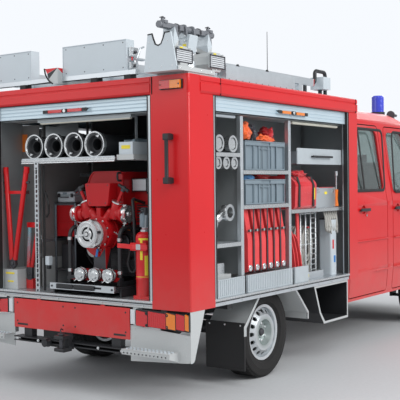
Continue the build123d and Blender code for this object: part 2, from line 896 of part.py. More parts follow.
def build_outside():
    half = body_half_width
    # Rear panel between the lamps
    panel = box(-8, 2, -576, 576, 450, 672)
    for side in (-1, 1):
        panel += box(2, 59, *span(side, 300, 340), 470, body_bottom - 0.5)
    save("rear_panel", panel)

    # Corner panels with steps; outline in x and z of the side plate
    cheek_low = 333
    sheet = 4
    step_front = -110
    step_top = 402
    cheek = [(0, cheek_low, 0), (40, cheek_low, 34), (172, body_bottom - 1, 0), (0, body_bottom - 1, 0)]
    corner = plate_y(cheek, -half + 2, -half + 2 + sheet)
    corner += plate_x(
        [(-half + 2, cheek_low, 26), (-578, 300, 0), (-578, 555, 0), (-half + 2, 520, 0)],
        0,
        sheet,
    )
    step = box(step_front, 0, -995, -585, step_top - sheet, step_top)
    step += box(step_front, step_front + sheet, -995, -585, step_top - 36, step_top)
    for row in range(12):
        y = -978 + row * 33
        step -= box(step_front + 12, -10, y, y + 14, step_top - 10, step_top + 10)
        step -= rod_x(step_front - 5, step_front + 10, y + 9, step_top - 22, 6)
    step += plate_y(
        [
            (step_front, step_top, 0),
            (0, step_top, 0),
            (0, step_top - 70, 0),
            (step_front, step_top - 36, 0),
        ],
        -999,
        -995,
    )
    corner += step
    corner += box(sheet, 60, -640, -600, 400, body_bottom - 1)
    save("rear_steps", both(corner))

    # Lamps: black base, then bands of lens of slightly different depth, from inside to outside
    lamp_rows = [
        # y from, y to, depth
        (-745, -640, 16),
        (-905, -745, 17),
        (-985, -905, 20),
        (-1062, -985, 17),
        (-1098, -1062, 20),
    ]
    lamp = plate_x([(-half + 2, 543, 12), (-632, 556, 8), (-632, 674, 8), (-half + 2, 660, 12)], -6, -1)
    for y0, y1, deep in lamp_rows:
        lamp += plate_x([(y0, 552, 0), (y1, 559, 0), (y1, 664, 0), (y0, 652, 0)], -deep, -1)
    white = box(-14, -1, -628, -590, 565, 668)
    upper = plate_x([(-1057, 2185, 6), (-864, 2185, 6), (-864, 2250, 6), (-1057, 2250, 6)], -8, -0.3)
    upper += box(-26, -8, -1045, -962, 2190, 2245) + box(-27, -8, -962, -876, 2190, 2245)
    save("tail_lamps", both(lamp), both(white), both(upper))

    handle = rod_z(1575, 1855, -52, -950, 14)
    for z0, z1 in ((1544, 1590), (1840, 1886)):
        handle += plate_y(
            [(-66, z0, 8), (-66, z1, 8), (-30, z1, 8), (0, z1 - 6, 0), (0, z0 + 6, 0), (-30, z0, 8)],
            -972,
            -928,
        )
    save("grab_handles", both(handle))

    # Tow hitch: channel with a pinned jaw
    hitch = box(-30, 59.5, -560, 560, 350, 385) - box(-31, 40, -561, 561, 358, 377)
    hitch += box(4, 59.5, -480, -400, 385, 500) + box(4, 59.5, 400, 480, 385, 500)
    hitch += box(-28, 59.5, -60, 60, 350, 385)
    jaw_side = [
        # x, z, corner radius
        (-125, 323, 8),
        (-125, 350, 8),
        (-60, 350, 0),
        (-60, 415, 0),
        (-125, 415, 8),
        (-125, 442, 8),
        (-29, 442, 8),
        (-29, 323, 8),
    ]
    hitch += plate_y(jaw_side, -45, 45)
    hitch -= rod_z(300, 480, -95, 0, 20)
    save("tow_hitch", hitch)

    # Sloping mudguards before and behind each rear wheel
    guard_top = body_bottom - 1
    guard_out = -1040
    back_x = rear_axle_x - 275
    front_x = rear_axle_x + 285
    guard = plate_y(
        [
            (back_x, guard_top, 0),
            (back_x + 6, guard_top - 5, 0),
            (797, 462, 0),
            (797, 400, 0),
            (791, 400, 0),
            (791, 465, 0),
        ],
        guard_out,
        -700,
    )
    guard += plate_y(
        [
            (back_x - 18, guard_top, 0),
            (back_x + 6, guard_top - 5, 0),
            (797, 462, 0),
            (797, 400, 0),
            (773, 400, 0),
            (773, 472, 0),
        ],
        guard_out,
        guard_out + 6,
    )
    fore = plate_y(
        [
            (front_x, guard_top, 0),
            (front_x - 6, guard_top - 5, 0),
            (1763, 462, 0),
            (1763, 410, 0),
            (1769, 410, 0),
            (1769, 465, 0),
        ],
        guard_out,
        -700,
    )
    fore += plate_y(
        [
            (front_x + 18, guard_top, 0),
            (front_x - 6, guard_top - 5, 0),
            (1763, 462, 0),
            (1763, 410, 0),
            (1787, 410, 0),
            (1787, 472, 0),
        ],
        guard_out,
        guard_out + 6,
    )
    save("mudguards", both(guard), both(fore))
    flap = box(
        782, 790.5, -1033, -690, 140, 500
    ) + box(779, 783, -1033, -690, 140, 152) + box(779, 783, -1033, -690, 488, 500)
    save("mud_flaps", both(flap))

    locker_end = body_length - 185
    locker = plate_y(
        [
            (1975, 345, 0),
            (1900, 440, 0),
            (1800, guard_top, 0),
            (locker_end, guard_top, 0),
            (locker_end, 345, 0),
        ],
        -1085,
        -700,
    )
    locker -= plate_y(
        [
            (1995, 365, 0),
            (1920, 450, 0),
            (1832, guard_top - 19, 0),
            (locker_end - 20, guard_top - 19, 0),
            (locker_end - 20, 365, 0),
        ],
        -1100,
        -715,
    )
    save("side_lockers", both(locker))


# Roof load

def build_roof_load():
    boxes = []
    bar_z = body_top + 85
    crossbar = 34
    # y from, y to, height over the roof: end boxes of the ladder carriers
    for y0, y1, top in ((-448, 171, 310), (512, 1040, 315)):
        chest = box(150, 236, y0, y1, bar_z + 1, body_top + top)
        chest -= box(153, 250, y0 + 3, y1 - 3, bar_z + 4, body_top + top - 3)
        boxes.append(chest)
    # crossbars on pads
    for x in (140, 1100, 2150):
        beam = box(x, x + 50, -540, 1050, bar_z - crossbar, bar_z)
        for y in (-500, -180, 560, 960):
            beam += box(x - 10, x + 60, y, y + 60, body_top, bar_z - crossbar)
        boxes.append(beam)
    # trough with a curved side, which rests on the first crossbar
    trough = [
        # y, z over the roof, corner radius
        (176, 30, 0),
        (218, 30, 0),
        (262, 56, 40),
        (284, 112, 30),
        (304, 150, 0),
        (176, 150, 0),
    ]
    trough = [(row[0], row[1] + body_top, row[2]) for row in trough]
    shape = plate_x(trough, 90, 700)
    shape -= Pos(94, 0, 0) * extrude(Plane.YZ * offset(outline(trough), -4), 620)
    shape -= box(94, 710, 180, 290, body_top + 60, body_top + 160)
    boxes[2] = boxes[2] + shape
    cover = box(560, 1585, -1040, -1034, body_top, body_top + 117)
    cover += box(560, 1585, -1040, -962, body_top + 113, body_top + 117)
    cover += box(560, 564, -1040, -962, body_top, body_top + 117)
    boxes.append(cover)
    save("roof_boxes", boxes)

    ladders = []
    rail_width_ladder = 26
    rail_tall = 60
    # y from, y to, x from, x to, z of the rails' underside
    for y0, y1, x0, x1, z in (
        (-952, -580, 600, 2080, body_top + 88),
        (-420, 140, 240, 2420, bar_z + 1),
        (560, 1000, 240, 2420, bar_z + 1),
    ):
        whole = box(x0, x1, y0, y0 + rail_width_ladder, z, z + rail_tall)
        whole += box(x0, x1, y1 - rail_width_ladder, y1, z, z + rail_tall)
        x = x0 + 120
        while x < x1 - 60:
            whole += box(x, x + 30, y0 + 5, y1 - 5, z + 14, z + 44)
            x += 280
        ladders.append(whole)
    for x in (720, 1800):
        ladders[0] += box(x, x + 60, -960, -570, body_top, body_top + 88)
    save("ladder", ladders)

    signals = []
    # Beacons on the cab roof
    for side in (-1, 1):
        y = side * 560
        signals.append(
            turned_z(
                [(0, 2240), (74, 2240), (74, 2296), (66, 2300), (66, 2458, 14), (52, 2472), (0, 2472)],
                cab_x + 1640,
                y,
                0,
            )
        )
    # Twin horns before each beacon
    for side in (-1, 1):
        horn = turned_x(
            [(0, 0), (0, 44), (16, 44), (60, 20), (150, 14), (150, 0)], cab_x + 1600, side * 720, 2256
        )
        bracket = box(cab_x + 1650, cab_x + 1680, *span(side, 708, 732), 2120, 2256)
        signals.append(horn + (bracket - Pos(cab_x, 0, 0) * cab_form(0)))
    # Tube hoops at the front of the body roof, with a working lamp
    hoop_y = -800
    low = body_top + 150
    high = body_top + 262
    hoop_rear = body_length - 420
    signals.append(
        bent_rod(
            [
                (hoop_rear, hoop_y, body_top),
                (hoop_rear, hoop_y, low),
                (hoop_rear + 190, hoop_y, low),
                (hoop_rear + 190, hoop_y, high),
                (hoop_rear + 390, hoop_y, high),
                (hoop_rear + 390, hoop_y, body_top),
            ],
            34,
            17,
        )
        + box(hoop_rear + 220, hoop_rear + 360, hoop_y - 70, hoop_y + 60, body_top + 96, body_top + 205)
        + box(hoop_rear + 280, hoop_rear + 300, hoop_y - 15, hoop_y + 15, body_top, body_top + 100)
        + box(hoop_rear + 340, hoop_rear + 385, hoop_y - 12, hoop_y + 12, body_top + 130, body_top + 150)
    )
    # Whip antenna on its foot
    signals.append(
        turned_z(
            [(0, 0), (26, 0), (20, 24), (6, 34), (4, 60), (2.5, 640), (0, 640)],
            body_length - 350,
            -380,
            body_top,
        )
    )
    save("roof_signals", signals)


def build_mast():
    top = mast_base_top
    tray_z = body_top + 15
    # Tray round the mast's mouth, with a notched guard plate at its rear edge
    mount = box(-95, 340, -1090, -800, tray_z, tray_z + 4)
    mount += box(-95, 340, -1090, -1086, tray_z, tray_z + 30)
    guard = [
        # y, z over the tray, corner radius
        (-1075, 2, 0),
        (-800, 2, 0),
        (-835, 255, 8),
        (-875, 255, 8),
        (-905, 175, 30),
        (-945, 175, 30),
        (-985, 255, 8),
        (-1025, 255, 8),
    ]
    mount += plate_x([(row[0], row[1] + tray_z, row[2]) for row in guard], -95, -91)
    # Flange that stiffens the guard's outer edge
    mount += plate_x(
        [
            (-1079, tray_z + 2, 0),
            (-1073, tray_z + 2, 0),
            (-1023, tray_z + 257, 0),
            (-1029, tray_z + 257, 0),
        ],
        -95,
        -83,
    )
    mount += box(30, 330, -1080, -820, body_top, tray_z + 2)
    mount -= rod_z(tray_z - 100, tray_z + 100, mast_x, mast_y, mast_base_radius + 0.5)
    base = rod_z(mast_foot - 30, top, mast_x, mast_y, mast_base_radius)
    inside = mast_base_radius - mast_wall
    stage_1 = inside - mast_step + mast_wall
    stage_1_in = stage_1 - mast_wall
    stage_2 = stage_1_in - mast_step + mast_wall
    base -= rod_z(mast_foot, top + 10, mast_x, mast_y, inside)
    collar = rod_z(top, top + 30, mast_x, mast_y, mast_base_radius)
    collar -= rod_z(top - 1, top + 40, mast_x, mast_y, stage_1 + 0.1)
    save("mast_base", biggest(base + collar), biggest(mount))

    first = rod_z(mast_foot + 10, top + 50, mast_x, mast_y, stage_1)
    first += rod_z(mast_foot + 10, mast_foot + 110, mast_x, mast_y, inside - 0.1)
    first -= rod_z(mast_foot + 20, top + 60, mast_x, mast_y, stage_1_in)
    collar = rod_z(top + 50, top + 70, mast_x, mast_y, stage_1)
    collar -= rod_z(top + 40, top + 80, mast_x, mast_y, stage_2 + 0.1)
    save("mast_stage_1", first + collar)

    second = rod_z(mast_foot + 30, head_height - 140, mast_x, mast_y, stage_2)
    second += rod_z(mast_foot + 30, mast_foot + 130, mast_x, mast_y, stage_1_in - 0.1)
    second -= rod_z(mast_foot + 20, head_height - 200, mast_x, mast_y, stage_2 - mast_wall)
    # Tapered housing of the tilt drive, with two cheeks that hold the bar
    low = head_height - 160
    head = plate_x(
        [
            (mast_y - 44, low, 10),
            (mast_y - 66, head_height - 40, 6),
            (mast_y + 66, head_height - 40, 6),
            (mast_y + 44, low, 10),
        ],
        mast_x - 50,
        mast_x + 50,
    )
    for x in (mast_x - 55, mast_x + 40):
        head += plate_x(
            [
                (mast_y - 45, head_height - 60, 0),
                (mast_y - 32, head_height + 30, 16),
                (mast_y + 32, head_height + 30, 16),
                (mast_y + 45, head_height - 60, 0),
            ],
            x,
            x + 15,
        )
    head -= rod_x(mast_x - 100, mast_x + 100, mast_y, head_height, bar_radius + running_gap)
    save("mast_stage_2", second + head)

    build_floodlights()


def build_floodlights():
    """Crossbar with a clamp at each end and two hanging lamp heads."""
    bar = rod_x(mast_x - bar_length / 2, mast_x + bar_length / 2, mast_y, head_height, bar_radius)
    sleeve = bar_radius + 3
    for x0, x1 in ((mast_x - 300, mast_x - 62), (mast_x + 62, mast_x + 300)):
        bar += box(x0, x1, mast_y - sleeve, mast_y + sleeve, head_height - 17, head_height + 17)
    for x in (mast_x - 290, mast_x + 250):
        bar += box(x, x + 34, mast_y - 34, mast_y + 34, head_height + 10, head_height + 30)
        bar += rod_z(head_height, head_height + 44, x + 17, mast_y, 12)
    for x in (mast_x - 190, mast_x + 215):
        low = head_height - 275
        high = head_height - 140
        bar += plate_y(
            [
                (x - 14, high - 6, 0),
                (x - 26, high + 50, 12),
                (x - 10, head_height - 6, 0),
                (x + 24, head_height - 6, 0),
                (x + 34, high + 50, 12),
                (x + 26, high - 6, 0),
            ],
            mast_y - 48,
            mast_y + 48,
        )
        # x, z, corner radius: lamp head seen from the side
        case = [
            (x - 72, low + 45, 8),
            (x - 72, high - 35, 8),
            (x - 30, high, 8),
            (x + 60, high, 8),
            (x + 105, high - 30, 8),
            (x + 105, low + 40, 8),
            (x + 60, low, 8),
            (x - 30, low, 8),
        ]
        bar += plate_y(case, mast_y - 95, mast_y + 60)
        # cooling fins on the inner side, glass frame on the outer side
        for row in range(4):
            fin_z = low + 24 + row * 26
            bar += box(x - 56, x + 88, mast_y + 58, mast_y + 100, fin_z, fin_z + 8)
        bar += box(x - 80, x + 112, mast_y - 105, mast_y - 90, low + 22, high - 22)
    save("floodlights", bar)


# Pump on its slide

def volute_face():
    """Spiral of four quarter arcs, each larger than the last, closed by the outlet's throat."""
    step = volute_growth
    # middle of each arc from the pump's axis (y, z), in turning order from below
    centre_y = 0
    centre_z = 0
    radius = volute_start
    edges = []
    start = (0, -radius)
    # unit directions towards start and end of each quarter
    quarters = [((0, -1), (-1, 0)), ((-1, 0), (0, 1)), ((0, 1), (1, 0)), ((1, 0), (0, -1))]
    for toward, until in quarters:
        begin = (centre_y + toward[0] * radius, centre_z + toward[1] * radius)
        end = (centre_y + until[0] * radius, centre_z + until[1] * radius)
        diagonal = radius * 0.70710678
        middle = (
            centre_y + (toward[0] + until[0]) * diagonal, centre_z + (toward[1] + until[1]) * diagonal
        )
        edges.append(ThreePointArc(begin, middle, end))
        centre_y -= until[0] * step
        centre_z -= until[1] * step
        radius += step
        last = end
    edges.append(Line(last, start))
    return make_face(Wire(edges))


def coupling_rows(radius):
    """Section of a hose coupling with its blank cap, rows along the axis and radius."""
    return [
        (0, 0),
        (0, radius * 0.32),
        (8, radius * 0.36),
        (8, radius * 0.78),
        (0, radius * 0.84),
        (0, radius),
        (22, radius),
        (26, radius * 0.9),
        (40, radius * 0.9),
        (44, radius * 1.06),
        (60, radius * 1.06),
        (64, radius * 0.8),
        (96, radius * 0.8),
        (96, 0),
    ]


def build_pump():
    slide = box(12, 860, -420, 210, 765, 785)
    slide += box(12, 30, -420, 210, 765, 812) - box(0, 22, -300, 90, 778, 800)
    slide += box(60, 860, -420, -395, 785, 800) + box(60, 860, 185, 210, 785, 800)
    save("pump_slide", slide)

    # Carrying frame of bent tube, engine and cowls
    frame = box(130, 780, -380, -350, 802, 832) + box(130, 780, 110, 140, 802, 832)
    frame += box(130, 170, -380, 140, 832, 862) + box(740, 780, -380, 140, 832, 862)
    for y in (-365, 125):
        frame += bent_rod([(150, y, 820), (150, y, 1225), (760, y, 1225), (760, y, 820)], 70, 16)
    motor = box(380, 740, -320, 90, 850, 1280)
    for row in range(7):
        motor += box(400, 720, -340, 105, 900 + row * 50, 914 + row * 50)
    cowl = plate_x(
        [
            # y, z, corner radius
            (pump_y - 175, 1240, 0),
            (pump_y - 175, 1640, 10),
            (pump_y + 140, 1640, 40),
            (pump_y + 194, 1513, 60),
            (pump_y + 176, 1240, 0),
        ],
        cowl_x,
        740,
    )
    cowl -= box(240, 379, pump_y - 200, pump_y + 200, 1230, 1395)
    cowl += plate_x(
        [
            # y, z, corner radius: front cover between the two valves
            (pump_y - 96, 1385, 30),
            (pump_y - 122, 1556, 12),
            (pump_y + 126, 1556, 12),
            (pump_y + 100, 1385, 30),
        ],
        178,
        cowl_x + 1,
    )
    grip_y = pump_y - 150
    grip = bent_rod(
        [
            (cowl_x + 8, grip_y, 1632),
            (cowl_x - 40, grip_y, 1632),
            (cowl_x - 40, grip_y, 1574),
            (cowl_x + 8, grip_y, 1574),
        ],
        14,
        8,
    )
    panel = plate_x(
        [(-460, 1236, 0), (-460, 1500, 0), (-420, 1582, 20), (-300, 1582, 0), (-300, 1236, 0)], 402, 740
    )
    lamp = box(390, 403, -365, -318, 1494, 1582) + box(386, 403, -362, -184, 1497, 1579)
    panel += box(402, 740, -310, -180, 1400, 1600)
    fuel = plate_y(
        [(420, 1120, 30), (420, 1330, 60), (560, 1390, 40), (720, 1390, 30), (720, 1120, 30)], 60, 200
    )
    fuel += rod_z(1380, 1410, 640, 130, 36)
    # spare couplings carried on the frame's front bar
    for y in (-35, -172, -309):
        frame += turned_x(
            [
                (0, 0),
                (0, 28),
                (6, 32),
                (6, 44),
                (0, 50),
                (20, 52),
                (24, 43),
                (50, 43),
                (54, 37),
                (96, 37),
                (96, 0),
            ], 72, y, 880
        )
    # drain hose, fixed at the panel and at the motor
    hose = bent_rod(
        [
            (420, -400, 1400),
            (260, -400, 1440),
            (215, -446, 1340),
            (215, -464, 930),
            (215, -424, 872),
            (215, -386, 960),
            (300, -350, 1080),
            (400, -320, 1100),
        ],
        26,
        11,
    )
    save("pump_engine", frame + motor + cowl + grip + panel + lamp + fuel + hose)

    build_pump_casing()


def build_pump_casing():
    y = pump_y
    z = pump_z
    back = volute_x + volute_width
    face = volute_face()
    casing = Pos(volute_x, y, z) * extrude(Plane.YZ * face, volute_width)
    casing += Pos(volute_x - 12, y, z) * extrude(Plane.YZ * offset(face, -14), volute_width + 24)
    # x, radius: suction mouth with cap, then the bearing housing towards the engine
    mouth = [
        (48, 0),
        (48, 34),
        (58, 40),
        (58, 74),
        (48, 80),
        (48, 98),
        (70, 98),
        (74, 88),
        (92, 88),
        (96, 104),
        (118, 104),
        (122, 74),
        (150, 70),
        (volute_x - 11, 96),
        (back, 96),
        (back, 126),
        (back + 20, 126),
        (back + 24, 88),
        (379, 80),
        (379, 0),
    ]
    casing += turned_x(mouth, 0, y, z)
    # lugs of the cap's ring
    for lug in range(3):
        casing += Pos(0, y, z) * (Rot(lug * 120 + 20, 0, 0) * box(50, 112, -12, 12, 92, 116))
    middle = volute_x + volute_width / 2
    # outlet side, its y, how far it sticks out
    for side in (-1, 1):
        knee = (middle, y + side * 92, z + 158)
        body_low = (middle, y + side * 122, z + 112)
        body_high = (middle, y + side * 158, z + 236)
        stem_end = (middle, y + side * 216, z + 338)
        casing += rod((middle, y + side * 30, z + 90), knee, 34)
        casing += Pos(*knee) * Sphere(35)
        casing += rod(body_low, body_high, 42)
        casing += rod(body_high, stem_end, 13)
        casing += Pos(*stem_end) * (Rot(-side * 28, 0, 0) * (Rot(90, 0, 0) * Cylinder(13, 104)))
        # capped outlet to the side
        outlet_y = y + side * 268
        cap = Rot(0, 0, -90 * side) * turned_x(coupling_rows(61), 0, 0, 0)
        casing += Pos(middle, outlet_y, z + 145) * cap
        casing += rod((middle, y + side * 120, z + 150), (middle, y + side * 180, z + 145), 40)
    casing += box(volute_x, back, y - 20, y + 20, z + 80, z + 190)
    # feet on the frame
    casing += box(volute_x + 10, back - 10, y - 150, y + 150, 866, 890)
    casing += box(volute_x + 10, back - 10, y - 60, y + 60, 880, z - 90)
    save("pump_casing", biggest(casing))


# Kit

def make_crate(x0, x1, z0, z1):
    """Stacking crate with rim, corner posts and ribs, open at the top."""
    y0 = -1040
    y1 = -640
    rim = 28
    crate = box(x0 + 12, x1 - 12, y0 + 12, y1 - 12, z0, z1)
    crate += box(x0, x1, y0, y1, z1 - rim, z1)
    for x in (x0 + 4, x0 + 120, x0 + 200, x1 - 212, x1 - 132, x1 - 16):
        crate += box(x, x + 12, y0 + 2, y0 + 14, z0 + 2, z1 - rim)
        crate += box(x, x + 12, y1 - 14, y1 - 2, z0 + 2, z1 - rim)
    middle = (x0 + x1) / 2
    crate -= plate_y(
        [
            (middle - 72, z1 - 6, 0),
            (middle - 66, z1 - 46, 10),
            (middle + 66, z1 - 46, 10),
            (middle + 72, z1 - 6, 0),
        ],
        y0 - 1,
        y0 + 8,
    )
    crate -= box(x0 + 22, x1 - 22, y0 + 22, y1 - 22, z0 + 8, z1 + 1)
    return crate


def build_hoses():
    hoses = []
    # suction hoses in the rear: y of each
    for y in (410, 205, 0, -205):
        hose = rod_x(100, 1600, y, 1842, 80)
        hose += turned_x(
            [
                (30, 0),
                (30, 56),
                (2, 66),
                (2, 82),
                (-6, 86),
                (-6, 95),
                (22, 95),
                (30, 90),
                (44, 90),
                (44, 0),
            ],
            70,
            y,
            1842,
        )
        for turn in range(2):
            hose += Pos(0, y, 1842) * (Rot(turn * 180 + 25, 0, 0) * box(66, 92, -14, 14, 60, 84))
        hose -= rod_x(60, 420, y, 1842, 44)
        hoses.append(hose)
    # flat hoses hung side by side over the wheel housing
    fold = [
        # y, z, corner radius
        (-935, 1352, 0),
        (-1002, 1362, 24),
        (-1044, 1120, 300),
        (-1044, house_top + 24, 30),
        (-700, house_top + 24, 30),
        (-700, 1352, 30),
    ]
    for row in range(6):
        x = post_1_x + post_depth + 60 + row * 101
        hoses.append(plate_x(fold, x, x + 62))
    # standpipes and branch couplings in the rear column: x, z, radius of the ring
    for x, z, r in ((650, 1832, 62), (470, 1832, 62), (668, 1692, 46), (560, 1692, 46), (452, 1692, 46)):
        hose = rod_y(-1000, -620, x, z, r - 14)
        hose += pipe_y(-1036, -996, x, z, r, r - 16) + rod_y(-1030, -996, x, z, r - 22)
        hoses.append(hose)
    save("stowed_hoses", hoses)


def build_kit():
    kit = []
    crate_x0 = post_1_x + 80
    for z0, z1 in ((1641, 1861), (1381, 1570)):
        kit += both(make_crate(crate_x0, crate_x0 + 600, z0, z1))
    # tool bag and tool case on the front column's shelf
    case_x0 = bay_front - 440
    case_x1 = bay_front - 70
    bag_x0 = post_2_x + 150
    bag_x1 = case_x0 - 40
    bag = plate_x(
        [
            (-1020, 1326, 30),
            (-1030, 1540, 60),
            (-960, 1600, 40),
            (-760, 1600, 40),
            (-690, 1540, 60),
            (-690, 1326, 30),
        ],
        bag_x0,
        bag_x1,
    )
    case = box(case_x0, case_x1, -1000, -720, 1326, 1500)
    case += bent_rod(
        [
            (case_x0 + 110, -860, 1498),
            (case_x0 + 110, -860, 1545),
            (case_x1 - 110, -860, 1545),
            (case_x1 - 110, -860, 1498),
        ],
        16,
        8,
    )
    kit += both(bag) + both(case)
    # low tray in the front column and its upright long case
    kit += both(
        tray(
            rear_axle_x + house_reach + 25,
            bay_front - 330,
            -1010,
            -650,
            floor_top + 1,
            floor_top + 60,
            4,
        )
    )
    kit += both(
        plate_z(
            [
                (bay_front - 200, -1020, 16),
                (bay_front - 90, -1020, 16),
                (bay_front - 90, -900, 16),
                (bay_front - 200, -900, 16),
            ],
            floor_top + 1,
            1215,
        )
    )
    # rack of rods before the coiled lines in the front column
    for x in (post_2_x + 350, post_2_x + 440, post_2_x + 530, post_2_x + 620):
        kit += both(rod_z(floor_top + 5.5, 1298, x, -960, 7))
    # pump branches in the rear column
    branch = rod((430, -960, 1360), (650, -860, 1150), 26) + rod((610, -960, 1340), (520, -860, 1200), 22)
    branch += Pos(540, -905, 1250) * Sphere(58)
    branch += pipe_y(-1010, -960, 640, 1330, 62, 40) + rod((640, -962, 1330), (540, -905, 1250), 34)
    branch += rod_z(1114, 1210, 540, -880, 46)
    kit.append(branch)
    kit.append(box(350, 660, -1000, -700, floor_top + 1, 880) + box(380, 630, -960, -740, 880, 960))
    kit.append(box(350, 700, 660, 1000, floor_top + 1, 960))
    # rear bay: grey case, fire extinguisher, two pairs of croppers, orange case
    kit.append(box(60, 300, 606, corner_in - 5, floor_top + 1, 884))
    bottle = turned_z(
        [
            (0, 0),
            (62, 0),
            (67, 12),
            (67, 452, 44),
            (26, 474),
            (22, 480),
            (22, 500),
            (36, 504),
            (36, 588),
            (24, 640),
            (0, 640),
        ],
        125,
        -620,
        floor_top + 8,
    )
    bottle += turned_z([(60, 130), (69, 132), (69, 138), (60, 140)], 125, -620, floor_top + 8)
    bottle += box(60, 200, -700, -560, floor_top + 1, floor_top + 24)
    bottle += box(48, 60, -690, -545, 1075, 1130) + box(60, 130, -560, -545, 1075, 1130)
    kit.append(bottle)
    croppers = rod((85, 745, 1690), (85, 690, 960), 20) + rod((85, 512, 1690), (85, 655, 960), 20)
    croppers += plate_x(
        [(648, 975, 10), (702, 975, 10), (706, 920, 10), (672, 888, 10), (640, 920, 10)], 71, 99
    )
    croppers += box(85, 125, 530, 765, 1480, 1505)
    kit.append(croppers)
    small = rod((160, 560, 1240), (160, 583, 900), 15) + rod((160, 470, 1240), (160, 545, 900), 15)
    small += box(145, 175, 470, 580, 1215, 1255)
    small += plate_x([(532, 905, 0), (596, 905, 0), (590, 800, 10), (540, 800, 10)], 148, 172)
    small += box(150, 190, 530, 600, floor_top + 1, 810)
    kit.append(small)
    kit.append(box(300, 360, 720, 855, 1820, 1960))
    generator = box(470, 870, 360, 560, 1130, 1385) + box(462, 500, 380, 540, 1180, 1240)
    for x in (460, 880):
        for y in (352, 566):
            generator += rod_z(floor_top + 1, 1400, x, y, 9)
        generator += rod_y(352, 566, x, 1392, 9) + rod_y(352, 566, x, 860, 9)
    for y in (352, 566):
        generator += rod_x(
            460, 880, y, 1392, 9
        ) + rod_x(460, 880, y, 860, 9) + rod_x(460, 880, y, 1120, 9)
    generator += box(480, 860, 352, 566, 855, 865) + box(
        500, 700, 380, 540, 864, 1060
    ) + rod_z(1060, 1131, 760, 460, 70)
    kit.append(generator)
    # tray beside the suction hoses
    side_tray = tray(80, 620, -560, -404.5, 1722, 1760, 4) + box(90, 420, -545, -420, 1750, 1850)
    kit.append(side_tray)
    # couplings laid on the pump's tray ride with the floor, clear of the slide
    save("stowed_kit", kit)

    # Drawer of sheet with its front and pull
    x0 = post_2_x + 165
    x1 = body_length - 200
    z0 = 1696
    z1 = 1827
    drawer = box(x0, x1, -1040, -1028, z0, z1)
    drawer += tray(x0 + 10, x1 - 10, -1030, -600, z0 + 4, z1 - 27, 6)
    drawer += rod_x(x0 + 235, x1 - 225, -1062, z0 + 64, 9)
    for x in (x0 + 245, x1 - 235):
        drawer += rod_y(-1065, -1035, x, z0 + 64, 7)
    save("drawer", drawer)


def main():
    os.makedirs("parts", exist_ok=True)
    build_cab()
    build_mirrors()
    build_seats()
    build_dashboard()
    build_wheels()
    build_rear_axle()
    build_front_axle()
    build_chassis()
    build_body()
    build_inside()
    build_shutters()
    build_outside()
    build_roof_load()
    build_mast()
    build_pump()
    build_hoses()
    build_kit()


main()
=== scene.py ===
import math
import random

import bmesh
import bpy
import numpy
from mathutils import Euler, Matrix, Vector, noise


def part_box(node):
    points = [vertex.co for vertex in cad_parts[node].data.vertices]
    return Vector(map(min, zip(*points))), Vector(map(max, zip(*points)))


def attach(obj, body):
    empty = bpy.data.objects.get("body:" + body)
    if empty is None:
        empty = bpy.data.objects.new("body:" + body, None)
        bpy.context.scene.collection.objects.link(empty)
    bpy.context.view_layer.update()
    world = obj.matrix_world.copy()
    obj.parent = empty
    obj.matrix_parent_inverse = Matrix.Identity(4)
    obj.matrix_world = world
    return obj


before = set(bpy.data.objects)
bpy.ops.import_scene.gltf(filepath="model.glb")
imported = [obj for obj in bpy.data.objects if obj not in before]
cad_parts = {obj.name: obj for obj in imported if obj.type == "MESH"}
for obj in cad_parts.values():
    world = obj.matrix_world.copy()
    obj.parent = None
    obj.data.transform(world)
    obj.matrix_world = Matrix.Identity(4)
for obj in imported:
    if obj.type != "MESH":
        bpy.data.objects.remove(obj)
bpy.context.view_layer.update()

random.seed(7)
print("frame loaded:", len(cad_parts), "nodes")

# Sizes here are in mm from the rear face of the body, as on a workshop drawing:
# x forward, y left, z up. middle is how far forward the model's own origin lies.
middle = 2835
axles = {"rear": 1275, "front": 4825, "height": 356, "track": 815}
pump = {"y": -133, "z": 1180}
couplings = {"y": (-35, -172, -309), "z": 880}
suctionHoses = {"y": (410, 205, 0, -205), "z": 1842}
mast = {"x": 195, "y": -950, "axis": 2610, "lamps": (5, 410)}


# shader sockets and materials

class Wire:
    # one output of a node, with sums written as in Python
    def __init__(self, shade, socket):
        self.shade = shade
        self.socket = socket

    def join(self, kind, a, b):
        shader = "ShaderNodeMath" if self.socket.type == "VALUE" else "ShaderNodeVectorMath"
        return self.shade.node(shader, {0: a, 1: b}, operation=kind)

    def __add__(self, other):
        return self.join("ADD", self, other)

    def __sub__(self, other):
        return self.join("SUBTRACT", self, other)

    def __rsub__(self, other):
        return self.join("SUBTRACT", other, self)

    def __mul__(self, other):
        return self.join("MULTIPLY", self, other)

    def __gt__(self, other):
        return self.join("GREATER_THAN", self, other)

    def __lt__(self, other):
        return self.join("LESS_THAN", self, other)

    def __mod__(self, other):
        return self.join("FLOORED_MODULO", self, other)


